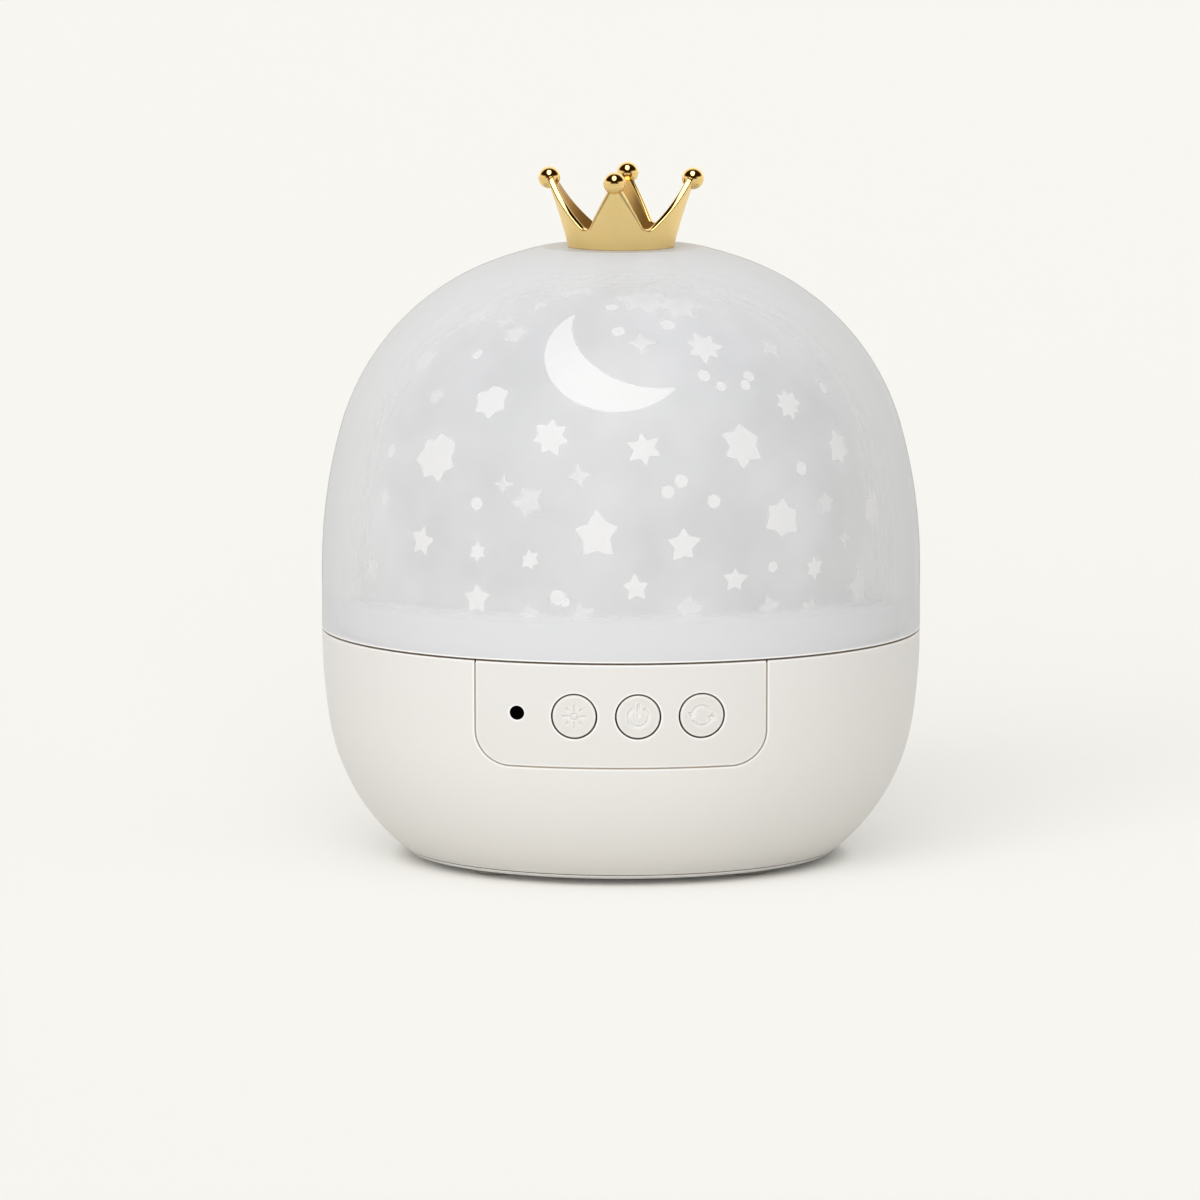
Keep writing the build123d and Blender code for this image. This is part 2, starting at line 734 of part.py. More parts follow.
def post_places():
    """Places of the main board's screws, below the row of buttons, as (x, z)."""
    between = (button_places["light"] + button_places["power"]) / 2
    height = board_bottom + post_inset
    return [(board_left + post_inset, height), (between, height), (board_right - post_inset, height)]


def main_board():
    """Circuit board behind the panel."""
    board = block((board_left, board_right), (-board_plane, -board_back), (board_bottom, board_top))
    for x, z in post_places():
        board -= bar(small_screw_radius + screw_clearance, board_plane + 1, board_back - 1, x, z)
    return board


def controller_chip():
    """Controller on the back of the main board."""
    half, z = chip_side / 2, (board_bottom + board_top) / 2
    return block(
        (chip_place - half, chip_place + half),
        (-board_back, -board_back + chip_height),
        (z - half, z + half),
    )


def wire_headers():
    """Sockets on the back of the main board for the motor's, the light's and the inlet's wires."""
    low = (board_bottom + board_top - header_tall) / 2
    return Compound(
        children=[
            block(
                (x - header_width / 2, x + header_width / 2),
                (-board_back, -board_back + header_depth),
                (low, low + header_tall),
            )
            for x in (-header_place, header_place)
        ]
    )


# ---- light ----
def thrust_washer():
    """Slippery washer under the turntable's bush."""
    bore, edge = hub_radius + hub_clearance, hub_radius + hub_wall
    return ring(bore, edge, deck_top, gear_z - thrust_gap)


def light_tower():
    """Hollow column: its foot flange keeps the turntable down and its head carries the light."""
    foot_top = tower_z + tower_flange
    tower = rod(tower_flange_radius, tower_z, foot_top)
    tower += rod(tower_radius, foot_top, tower_head_z)
    tower += rod(tower_head_radius, tower_head_z, led_board_z)
    for x, y in around(tower_screw_count, tower_screw_circle, 90):
        tower -= rod(small_screw_radius + screw_clearance, tower_z - 1, foot_top + 1, x, y)
    return tower - rod(tower_radius - tower_wall, tower_z - 1, led_board_z + 1)


def led_board():
    """Round board under the light, with a hole for its wires."""
    board = rod(led_board_radius, led_board_z, led_board_z + led_board_thickness)
    return board - rod(1.2, led_board_z - 1, led_board_z + 2, 0, -led_board_radius + 2.2)


def led():
    """Square light-emitting package with a low lens."""
    low = led_board_z + led_board_thickness
    half = led_side / 2
    body = block((-half, half), (-half, half), (low, low + led_height))
    bead = Pos(0, 0, low + led_height - 1) * Sphere(2)
    return body + (bead & rod(half, low, low + led_height + 1))


def diffuser():
    """Milky dome over the light, standing on the tower's head."""
    inner = led_board_radius + 0.05
    outer = inner + lens_wall
    middle = led_board_z + led_board_thickness + led_height
    solid = rod(outer, led_board_z, middle) + Pos(0, 0, middle) * Sphere(outer)
    hollow = rod(inner, led_board_z - 1, middle) + Pos(0, 0, middle) * Sphere(inner)
    return solid - hollow - rod(outer + 1, led_board_z - outer - 2, led_board_z)


# ---- drive ----
def motor_ears():
    """Places of the motor's screws, as (x, y)."""
    return [(-gear_centres - motor_offset, side * motor_ear_spacing / 2) for side in (-1, 1)]


def gear_motor():
    """Geared motor under the deck: can, mounting ears, shaft boss and plug housing."""
    middle = -gear_centres - motor_offset
    low = deck_under - motor_length
    can = fillet(rod(motor_radius, low, deck_under, middle).edges().group_by(Axis.Z)[0], 0.8)
    width, length = 2 * motor_ear_radius, motor_ear_spacing + 2 * motor_ear_radius
    ears = extrude(RectangleRounded(width, length, motor_ear_radius - 0.01), motor_ear_thickness)
    outer, half = middle - motor_radius - motor_plug_reach, motor_plug_width / 2
    motor = can + Pos(middle, 0, deck_under - motor_ear_thickness) * ears
    motor += block((outer, middle), (-half, half), (low + motor_plug_inset, deck_under - 2 * motor_plug_inset))
    motor += rod(motor_boss_radius, deck_under - 1, deck_under + motor_boss_height, -gear_centres)
    for x, y in motor_ears():
        motor -= rod(small_screw_radius + screw_clearance, low, deck_under + 1, x, y)
    return motor - rod(shaft_radius + shaft_clearance, shaft_low, deck_top + 1, -gear_centres)


def motor_shaft():
    """Output shaft, from inside the can to the top of the pinion."""
    return rod(shaft_radius, shaft_low + 0.2, gear_z + gear_face - 0.4, -gear_centres)


# ---- power ----
def inlet_places():
    """Places of the inlet board's screws, as (x, y)."""
    back = bowl_radius(inlet_height) - inlet_depth - socket_length
    return [(side * inlet_post_spacing / 2, back) for side in (-1, 1)]


def inlet_board():
    """Small board that carries the power socket behind the recess."""
    back = bowl_radius(inlet_height) - inlet_depth - inlet_wall - 0.3
    half = inlet_board_width / 2
    top = inlet_board_z + inlet_board_thickness
    board = block((-half, half), (back - inlet_board_length, back), (inlet_board_z, top))
    for x, y in inlet_places():
        board -= rod(small_screw_radius + screw_clearance, inlet_board_z - 1, top + 1, x, y)
    return board


def power_socket():
    """Metal socket: an oval tube with a contact tongue, its mouth level with the recess's floor."""
    mouth = bowl_radius(inlet_height) - inlet_depth

    def oval(inset, length):
        outline = RectangleRounded(
            socket_width - 2 * inset, socket_tall - 2 * inset, socket_tall / 2 - inset - 0.01
        )
        return Pos(0, mouth, inlet_height) * extrude(Plane.XZ * outline, length)

    tube = oval(0, socket_length) - oval(socket_metal, socket_length - 1)
    half_x, half_z = socket_tongue_width / 2, socket_tongue_thickness / 2
    tongue = block(
        (-half_x, half_x),
        (mouth - socket_length + socket_metal, mouth - 2 * socket_metal),
        (inlet_height - half_z, inlet_height + half_z),
    )
    return tube + tongue


def battery_cells():
    """Three cells side by side, pointing by turns to the front and to the back."""
    cells = []
    end = (cell_length + cell_nub_length) / 2
    for i in range(cell_count):
        cell = bar(cell_radius, end, end - cell_length, 0, cell_z)
        cell = fillet(cell.edges(), 0.4) + bar(cell_nub_radius, end - cell_length + 1, -end, 0, cell_z)
        x = (i - (cell_count - 1) / 2) * cell_pitch
        cells.append(Pos(x, 0, 0) * Rot(0, 0, 180 * (i % 2)) * cell)
    return Compound(children=cells)


def battery_contacts():
    """Contact strip at each end of each cell: a flat plate and a sprung bow that presses on the cell."""
    strips = []
    bow = contact_room - contact_metal
    half = contact_width / 2
    for i in range(cell_count):
        for turn in (0, 180):
            x = (i - (cell_count - 1) / 2) * cell_pitch
            wall = -bay_half_y
            plate = block((-half, half), (wall, wall + contact_metal), (cell_z - half, cell_z + half))
            left, right = (-half, wall + contact_metal), (half, wall + contact_metal)
            outer = ThreePointArc(left, (0, wall + contact_room), right)
            in_left, in_right = (-half + 0.6, left[1]), (half - 0.6, left[1])
            inner = ThreePointArc(in_left, (0, wall + contact_room - 0.3), in_right)
            face = make_face([outer, Line(right, in_right), inner, Line(in_left, left)])
            strip = plate + Pos(0, 0, cell_z - 1.75) * extrude(face, 3.5)
            strips.append(Pos(x, 0, 0) * Rot(0, 0, turn) * strip)
    return Compound(children=strips)


# ---- screws ----
def screw(radius, length, head, x=0.0, y=0.0, z=0.0, turn=Rot(0, 0, 0)):
    """Pan-head screw with a cross slot: its head is below z and its shank goes up from there."""
    head_radius, head_height = head
    shape = rod(head_radius, -head_height, 0) + rod(radius, -0.1, length)
    shape = fillet(shape.edges().group_by(Axis.Z)[0], head_height / 3)
    wide, narrow = head_radius * 0.6, head_radius * 0.12
    for a, b in ((wide, narrow), (narrow, wide)):
        shape -= block((-a, a), (-b, b), (-head_height - 1, -head_height * 0.45))
    return Pos(x, y, z) * turn * shape


def housing_screws():
    """Four long screws that hold the bottom cover and the shell to the deck's bosses."""
    radius = boss_pilot - screw_clearance
    return Compound(
        children=[
            screw(radius, big_screw_length, big_screw_head, x, y, pad_z - pad_web)
            for x, y in around(4, boss_circle, 45)
        ]
    )


def small_screws(places, length, turn=Rot(0, 0, 0)):
    """Group of small screws at (x, y, z) places."""
    return Compound(
        children=[screw(small_screw_radius, length, small_screw_head, *place, turn) for place in places]
    )


def tower_screws():
    """Three screws that hold the light tower on the deck's boss."""
    top = tower_z + tower_flange
    places = [(x, y, top) for x, y in around(tower_screw_count, tower_screw_circle, 90)]
    return small_screws(places, small_screw_length, Rot(180, 0, 0))


def motor_screws():
    """Two screws that hold the motor under the deck."""
    length = motor_ear_thickness + deck_thickness - 0.2
    return small_screws([(x, y, deck_under - motor_ear_thickness) for x, y in motor_ears()], length)


def board_screws():
    """Screws that hold the main board on the panel's posts."""
    places = [(x, -board_back, z) for x, z in post_places()]
    return small_screws(places, small_screw_length - 0.5, Rot(90, 0, 0))


def inlet_screws():
    """Two screws that hold the inlet board under the deck's posts."""
    return small_screws([(x, y, inlet_board_z) for x, y in inlet_places()], small_screw_length)


def door_screws():
    """Captive screw in each tongue of the battery door."""
    seat = foot_height + small_screw_head[1]
    return small_screws([(0, y, seat) for y in (-tongue_y, tongue_y)], small_screw_length - 0.5)


nodes = {
    "outer_cover": outer_cover,
    "projection_film": projection_film,
    "crown": crown,
    "turntable": turntable,
    "hub_bush": hub_bush,
    "drive_pinion": drive_pinion,
    "motor_shaft": motor_shaft,
    "gear_motor": gear_motor,
    "motor_screws": motor_screws,
    "thrust_washer": thrust_washer,
    "light_tower": light_tower,
    "tower_screws": tower_screws,
    "led_board": led_board,
    "led": led,
    "diffuser": diffuser,
    "deck": deck,
    "base_shell": base_shell,
    "control_panel": control_panel,
    "tact_switches": tact_switches,
    "remote_window": remote_window,
    "infrared_receiver": infrared_receiver,
    "main_board": main_board,
    "controller_chip": controller_chip,
    "wire_headers": wire_headers,
    "board_screws": board_screws,
    "inlet_board": inlet_board,
    "power_socket": power_socket,
    "inlet_screws": inlet_screws,
    "bottom_cover": bottom_cover,
    "housing_screws": housing_screws,
    "battery_door": battery_door,
    "door_screws": door_screws,
    "battery_cells": battery_cells,
    "battery_contacts": battery_contacts,
    "rubber_feet": rubber_feet,
}

os.makedirs("parts", exist_ok=True)
for node, make in nodes.items():
    save(make(), node)
for label, place in button_places.items():
    save(button(place), f"button_{label}")
    save(plunger(place), f"plunger_{label}")
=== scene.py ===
# %% [markdown]
# # A star night light
# The lamp has a clear dome over a frosted film that is printed with stars. The film turns on a tray, and
# the tray stands in a round cream base with three push buttons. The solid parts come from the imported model,
# and this lesson gives them their finishes. It also models the thin things that a solid model leaves out:
# the plated crown's soft edges, the prints on the film, the icons in the buttons and the flange round the
# control panel.

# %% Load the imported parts
import math

import bmesh
import bpy
from mathutils import Matrix, Vector
from mathutils.bvhtree import BVHTree


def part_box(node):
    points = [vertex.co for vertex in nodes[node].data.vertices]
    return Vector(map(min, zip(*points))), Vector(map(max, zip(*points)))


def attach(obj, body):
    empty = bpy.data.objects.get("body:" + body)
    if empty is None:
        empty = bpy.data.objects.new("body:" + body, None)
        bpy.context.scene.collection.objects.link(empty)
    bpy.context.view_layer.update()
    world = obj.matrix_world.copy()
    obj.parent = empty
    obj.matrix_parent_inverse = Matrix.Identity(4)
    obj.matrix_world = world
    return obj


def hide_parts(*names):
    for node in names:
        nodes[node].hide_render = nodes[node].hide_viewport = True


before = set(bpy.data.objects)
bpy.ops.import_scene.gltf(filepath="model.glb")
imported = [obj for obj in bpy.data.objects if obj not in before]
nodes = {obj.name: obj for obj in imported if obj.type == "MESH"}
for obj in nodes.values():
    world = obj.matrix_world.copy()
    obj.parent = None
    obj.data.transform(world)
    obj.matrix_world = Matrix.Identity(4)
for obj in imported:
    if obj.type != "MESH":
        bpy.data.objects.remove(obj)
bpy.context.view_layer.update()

MM = 0.001

# %% [markdown]
# ## Sizes of the dome
# Cover and film share one outline: an upright stretch above the seam, then three arcs that run into each
# other up to the top. The finishes and the prints both need it, so its sizes stand here, in millimetres.

# %% Sizes of the dome
seam, straight, apex = 45.1, 12.0, 121.1
side_arc, shoulder_arc, top_arc = 101.0, 48.0, 71.0
half_width = 58.42
# How far the film lies inside the cover's outline.
film_inset = 5.2
print("dome above the seam in mm:", apex - seam, "film across in mm:", 2 * (half_width - film_inset))

# %% [markdown]
# ## Camera
# A long lens from a distance keeps the lamp's sides nearly parallel, as in a catalogue picture. The camera
# stands a little above the dome and looks slightly down, so that the seam and the foot show as shallow
# ellipses. It is made first, because everything after it is judged through it.

# %% Camera
eye = Vector((0, -1.680, 0.259))
aim = Vector((-0.0041, 0, 0.0501))
lens = bpy.data.cameras.new("catalogue_lens")
lens.lens = 259.8
lens.sensor_width = 36
lens.clip_end = 50
camera = bpy.data.objects.new("camera", lens)
camera.location = eye
camera.rotation_euler = (aim - eye).to_track_quat("-Z", "Y").to_euler()
bpy.context.scene.collection.objects.link(camera)
bpy.context.scene.camera = camera
bpy.context.scene.view_settings.view_transform = "Standard"
print("camera's distance in m:", round((aim - eye).length, 3))

# %% [markdown]
# ## Colours and nodes
# Colours are written as the hex values that a screen shows. Blender works with linear light, so one
# function turns them. A second function adds any shader node with its settings and links, which keeps each
# material short enough to read as a recipe.


# %% Helpers for materials
def linear(code):
    """Linear red, green, blue and alpha of a screen colour such as "#e8e4dc"."""
    parts = [int(code[i : i + 2], 16) / 255 for i in (1, 3, 5)]
    return [c / 12.92 if c <= 0.04045 else ((c + 0.055) / 1.055) ** 2.4 for c in parts] + [1.0]


def add(tree, kind, inputs=(), **settings):
    """Adds a node. Its inputs come by name, or as a list in the order that the node shows, so a Map Range
    reads value, from, to, new from, new to. Each is a value, a socket, or a node for its first output."""
    node = tree.nodes.new("ShaderNode" + kind)
    for name, value in settings.items():
        setattr(node, name, value)
    for key, value in inputs.items() if isinstance(inputs, dict) else enumerate(inputs):
        if isinstance(value, bpy.types.Node):
            value = value.outputs[0]
        if isinstance(value, bpy.types.NodeSocket):
            tree.links.new(value, node.inputs[key])
        else:
            node.inputs[key].default_value = value
    return node


def new_material(name):
    """An empty material and its node tree."""
    made = bpy.data.materials.new(name)
    made.use_nodes = True
    made.node_tree.nodes.clear()
    return made, made.node_tree


print("a middle grey of #808080 is linear", round(linear("#808080")[0], 3))

# %% [markdown]
# ## Floor
# The floor is a large pale sheet that fills the picture. A real paper sweep is lit on its own, so it stays
# pale to the horizon. Here the sheet glows a little by itself instead, where the camera or a gloss looks at
# it, and the rest of its tone is the light that falls on it, with the lamp's shadow. Under the base, ambient
# occlusion takes the glow away as a painted contact shadow, so the lamp stands on the sheet and doesn't
# float.

# %% Floor
PAPER = "#f6f5f1"
glow_share = 0.35
# The glow is taken away, as a painted contact shadow, where something stands closer over the sheet than this.
contact_shade_reach = 4 * MM


def background_paper():
    """Matt paper that glows a little by itself, except under something close over it, where a painted contact
    shadow takes the glow away.
    """
    made, tree = new_material("background_paper")
    near = add(tree, "AmbientOcclusion", {"Distance": contact_shade_reach}, samples=8)
    # Painted contact shadow: the glow fades where ambient occlusion finds something close above.
    glow_outside_contact_shade = add(tree, "MapRange", [near.outputs["AO"], 0.35, 0.85, 0.0, glow_share])
    sheet = add(tree, "BsdfDiffuse", {"Color": linear("#f4f3ee"), "Roughness": 0.6})
    glow = add(tree, "Emission", {"Color": linear(PAPER), "Strength": 1.0})
    rays = add(tree, "LightPath").outputs
    seen = add(tree, "Math", [rays["Is Camera Ray"], rays["Is Glossy Ray"]], operation="MAXIMUM")
    share = add(tree, "Math", [seen, glow_outside_contact_shade], operation="MULTIPLY")
    lit = add(tree, "MixShader", [share, sheet, glow])
    add(tree, "OutputMaterial", {"Surface": lit})
    return made


sheet_mesh = bmesh.new()
bmesh.ops.create_grid(sheet_mesh, x_segments=1, y_segments=1, size=9)
floor_data = bpy.data.meshes.new("floor")
sheet_mesh.to_mesh(floor_data)
sheet_mesh.free()
floor = bpy.data.objects.new("floor", floor_data)
floor.data.materials.append(background_paper())
bpy.context.scene.collection.objects.link(floor)
print("floor's width in m:", floor.dimensions.x)

# %% [markdown]
# ## Surroundings
# Most of the light comes evenly from all round, as in a white tent. The plated crown needs more than that,
# because gold in an all-white room looks like yellow paint: metal shows what it mirrors. So only mirrors
# see a room, with a bright belt along its horizon, a bright rear wall, a dark end behind the camera and a
# tall window high above it. Its dim parts are warm.

# %% White tent
world = bpy.data.worlds.new("white_tent")
bpy.context.scene.world = world
world.use_nodes = True
sky = world.node_tree
sky.nodes.clear()
# What lights the lamp, and what the camera sees above the floor.
light = add(sky, "Background", {"Color": linear("#fffefd"), "Strength": 0.53})
shown = add(sky, "Background", {"Color": linear(PAPER), "Strength": 1.0})
print("light from all round:", round(light.inputs["Strength"].default_value, 2))

# %% The room that mirrors see
# In a world, Generated is the direction looked at. Its Z is 1 straight up, and its Y is 1 straight back.
soft = {"interpolation_type": "SMOOTHSTEP"}
direction = add(sky, "TexCoord").outputs["Generated"]
towards = add(sky, "SeparateXYZ", [direction])
up, back = towards.outputs["Z"], towards.outputs["Y"]
belt = add(sky, "MapRange", [up, 0.18, 0.40, 1.0, 0.0], **soft)
lit_end = add(sky, "MapRange", [back, -0.92, -0.60, 0.06, 1.0], **soft)
walls = add(sky, "Math", [belt, lit_end], operation="MULTIPLY")
rear = add(sky, "MapRange", [back, 0.20, 0.60, 0.04, 1.2], **soft)
room = add(sky, "Math", [walls, rear], operation="MAXIMUM")
# The window is a bright oval about this direction, narrower from side to side.
window_middle = (-0.05, -0.50, 0.86)
window_narrowing = (1.5, 1, 1)
beside = add(sky, "VectorMath", [direction, window_middle], operation="SUBTRACT")
narrowed = add(sky, "VectorMath", [beside, window_narrowing], operation="MULTIPLY")
away = add(sky, "VectorMath", [narrowed], operation="LENGTH").outputs["Value"]
window = add(sky, "MapRange", [away, 0.40, 0.56, 3.6, 0.0], **soft)
bright = add(sky, "Math", [room, window], operation="MAXIMUM")
warmth = add(sky, "MixRGB", [bright, linear("#c08a4a"), linear("#fbf7f0")], use_clamp=True)
mirrored = add(sky, "Background", {"Color": warmth, "Strength": bright})

rays = add(sky, "LightPath").outputs
both = add(sky, "MixShader", [rays["Is Camera Ray"], light, shown])
full = add(sky, "MixShader", [rays["Is Glossy Ray"], both, mirrored])
add(sky, "OutputWorld", {"Surface": full})
print("nodes of the surroundings:", len(sky.nodes))

# %% [markdown]
# ## Lamps
# Two distant soft lamps round the shapes: a broad key from the front left, and an even one from above. A
# distant lamp lights the floor as evenly far away as near the object. Mirrors don't see either of them,
# since a soft disc in every ball of the crown would give them away.


# %% Lamps
def sun(name, aimed, strength, spread):
    """A distant soft lamp that shines along a direction. spread is its width in degrees."""
    data = bpy.data.lights.new(name, "SUN")
    data.energy = strength
    data.angle = math.radians(spread)
    lamp = bpy.data.objects.new(name, data)
    lamp.rotation_euler = Vector(aimed).to_track_quat("-Z", "Y").to_euler()
    lamp.visible_glossy = False
    bpy.context.scene.collection.objects.link(lamp)
    print(name, "lamp:", strength, "W/m2, degrees wide:", spread)


sun("key", (0.27, 1.0, -0.45), 1.42, 60)
sun("top", (-0.05, 0.1, -1.0), 0.60, 120)

# %% [markdown]
# ## Moulded plastic
# Most of the base is satin ABS. Its mould was etched, so the surface has a fine even grain that spreads
# highlights, and its edges are slightly round where the steel of the mould was. The Bevel node reads that
# roundness from nearby edges and rounds the shading of each edge without more faces. The real lip of a gap
# is about 0.2 mm wide, too fine for this picture, so a second and wider Bevel marks a coarser band beside
# each gap, painted whiter as a highlight, and ambient occlusion paints the gap's depth a warm shade.

# %% Moulded plastic
# How far its tone drifts, as a share.
tone_of_plastic = 0.02
# Width of the band painted white beside a gap, and reach of the painted shade in it, both in millimetres.
highlight_width, gap_shade_reach = 0.9, 1.0


def moulded(name, colour, roughness=0.42, grain=0.30, depth=0.006, edge=0.25, sheen=0.5, painted_highlight=0.0):
    """Moulded plastic. grain, depth and edge are in millimetres. The last argument is how far edges beside
    gaps are painted white, a painted highlight, and when it is set the depth of each gap gets a warm painted
    shade.
    sheen is the strength of its reflection."""
    made, tree = new_material(name)
    where = add(tree, "TexCoord").outputs["Object"]
    broad = add(tree, "TexNoise", {"Vector": where, "Scale": 1 / (40 * MM), "Detail": 2.0})
    value = add(tree, "MapRange", [broad, 0, 1, 1 - tone_of_plastic, 1 + tone_of_plastic])
    hue = add(tree, "HueSaturation", {"Color": linear(colour), "Value": value})
    # Painted highlight: edges beside a gap turn whiter. Painted shade: the gap's depth turns warm and dark.
    if painted_highlight:
        flat = add(tree, "NewGeometry").outputs["Normal"]
        wide = add(tree, "Bevel", {"Radius": highlight_width * MM}, samples=8)
        turned = add(tree, "VectorMath", [flat, wide], operation="DOT_PRODUCT").outputs["Value"]
        painted_highlight_share = add(tree, "MapRange", [turned, 0.99, 0.93, 0.0, painted_highlight])
        hue = add(tree, "MixRGB", [painted_highlight_share, hue, linear("#ffffff")])
        # Painted shade in the gap's depth, from ambient occlusion.
        near = add(tree, "AmbientOcclusion", {"Distance": gap_shade_reach * MM}, samples=6).outputs["AO"]
        deep = add(tree, "MapRange", [near, 0.55, 0.25, 0.0, 0.85])
        hue = add(tree, "MixRGB", [deep, hue, linear("#c0aa88")])
    etched = {"Vector": where, "Scale": 1 / (grain * MM), "Detail": 2.0, "Roughness": 0.6}
    fine = add(tree, "TexNoise", etched)
    rough = add(tree, "MapRange", [fine, 0, 1, roughness - 0.05, roughness + 0.05])
    rounded = add(tree, "Bevel", {"Radius": edge * MM}, samples=6)
    bump = add(tree, "Bump", {"Height": fine, "Distance": depth * MM, "Normal": rounded})
    coat = {"Base Color": hue, "Roughness": rough, "IOR": 1.53, "Specular IOR Level": sheen, "Normal": bump}
    shell = add(tree, "BsdfPrincipled", coat)
    add(tree, "OutputMaterial", {"Surface": shell})
    return made


# %% [markdown]
# ## Metal
# The lamp has plated, rolled and strip metal. What sets them apart is their colour, how far they spread a
# highlight, and the brushing that rolling leaves. One recipe makes all of them: noise varies the tone and
# the roughness a little, and where the metal was rolled it is squeezed along the height into level streaks.


# %% Metal
def metal(name, colour, roughness=0.25, brush=0.0, tone=0.06, edge=0.15):
    """Bare or plated metal. brush is the length of its level streaks in millimetres, or 0 for none."""
    made, tree = new_material(name)
    where = add(tree, "TexCoord").outputs["Object"]
    stretch = add(tree, "Mapping", {"Vector": where, "Scale": (1, 1, 12 if brush else 1)})
    streaks = add(tree, "TexNoise", {"Vector": stretch, "Scale": 1 / ((brush or 3) * MM), "Detail": 3.0})
    rough = add(tree, "MapRange", [streaks, 0, 1, roughness * 0.8, roughness * 1.3])
    value = add(tree, "MapRange", [streaks, 0, 1, 1 - tone, 1 + tone])
    hue = add(tree, "HueSaturation", {"Color": linear(colour), "Value": value})
    rounded = add(tree, "Bevel", {"Radius": edge * MM}, samples=4)
    plate = {"Base Color": hue, "Metallic": 1.0, "Roughness": rough, "Normal": rounded}
    face = add(tree, "BsdfPrincipled", plate)
    add(tree, "OutputMaterial", {"Surface": face})
    return made


# %% [markdown]
# ## Frosted film
# The film is thin PET, frosted on one side, so it is a soft grey with cloudy patches. A frost scatters more
# light towards a flat view of it, so Layer Weight makes it paler where it turns away. Its real frost is a
# few hundredths of a millimetre. The noise for it is 0.4 mm, which is as coarse as the picture needs to
# show it at all.


# %% Frosted film
def frosted_pet():
    """Matt grey with faint clouds, paler where it is seen aslant."""
    made, tree = new_material("frosted_pet")
    where = add(tree, "TexCoord").outputs["Object"]
    patches = {"Vector": where, "Scale": 1 / (16 * MM), "Detail": 3.0, "Roughness": 0.55}
    cloud = add(tree, "TexNoise", patches)
    tint = add(tree, "ValToRGB", [cloud])
    dark, pale = tint.color_ramp.elements
    dark.position, dark.color = 0.30, linear("#cecfd1")
    pale.position, pale.color = 0.72, linear("#dbdcdf")
    aslant = add(tree, "LayerWeight", {"Blend": 0.5}).outputs["Facing"]
    scatter = add(tree, "MapRange", [aslant, 0.30, 0.9, 0.0, 0.50])
    hue = add(tree, "MixRGB", [scatter, tint, linear("#f4f5f7")])
    fine = add(tree, "TexNoise", {"Vector": where, "Scale": 1 / (0.4 * MM), "Detail": 2.0})
    bump = add(tree, "Bump", {"Height": fine, "Distance": 0.001 * MM})
    frost = {"Base Color": hue, "Roughness": 0.50, "IOR": 1.57, "Specular IOR Level": 0.24, "Normal": bump}
    face = add(tree, "BsdfPrincipled", frost)
    add(tree, "OutputMaterial", {"Surface": face})
    return made


# %% [markdown]
# ## Clear cover
# The cover is clear polycarbonate. Seen square on it nearly vanishes, and at its edge the eye looks through
# far more plastic, so it turns pale, and right at its outline it is painted darker as a painted shade. Real
# glass shaders are slow and grainy over a pale film, so a mix of a clear and a white shader that follows the
# slant says the same, with a gloss over both. Three bands lie at its foot. The ring that stands in the base's
# groove blocks the light, and its warm grey is a painted shade, so that the seam stays a dark line. The lower
# edge above it is painted white, a painted highlight. The frosted band over both hides the tray's rim.

# %% Clear cover
# Share of haze by slant, from 0 for a face seen square on to 1 for one seen edge on.
haze_by_slant = {0.0: 0.03, 0.40: 0.05, 0.50: 0.19, 0.56: 0.50, 0.60: 0.86, 0.66: 0.95, 1.0: 0.95}
# Heights above the seam, in millimetres, between which each band of the foot fades.
seam_ring_shade_band, rim_highlight_band, frost_band = (0.16, 0.22), (0.4, 0.6), (7.0, 10.0)


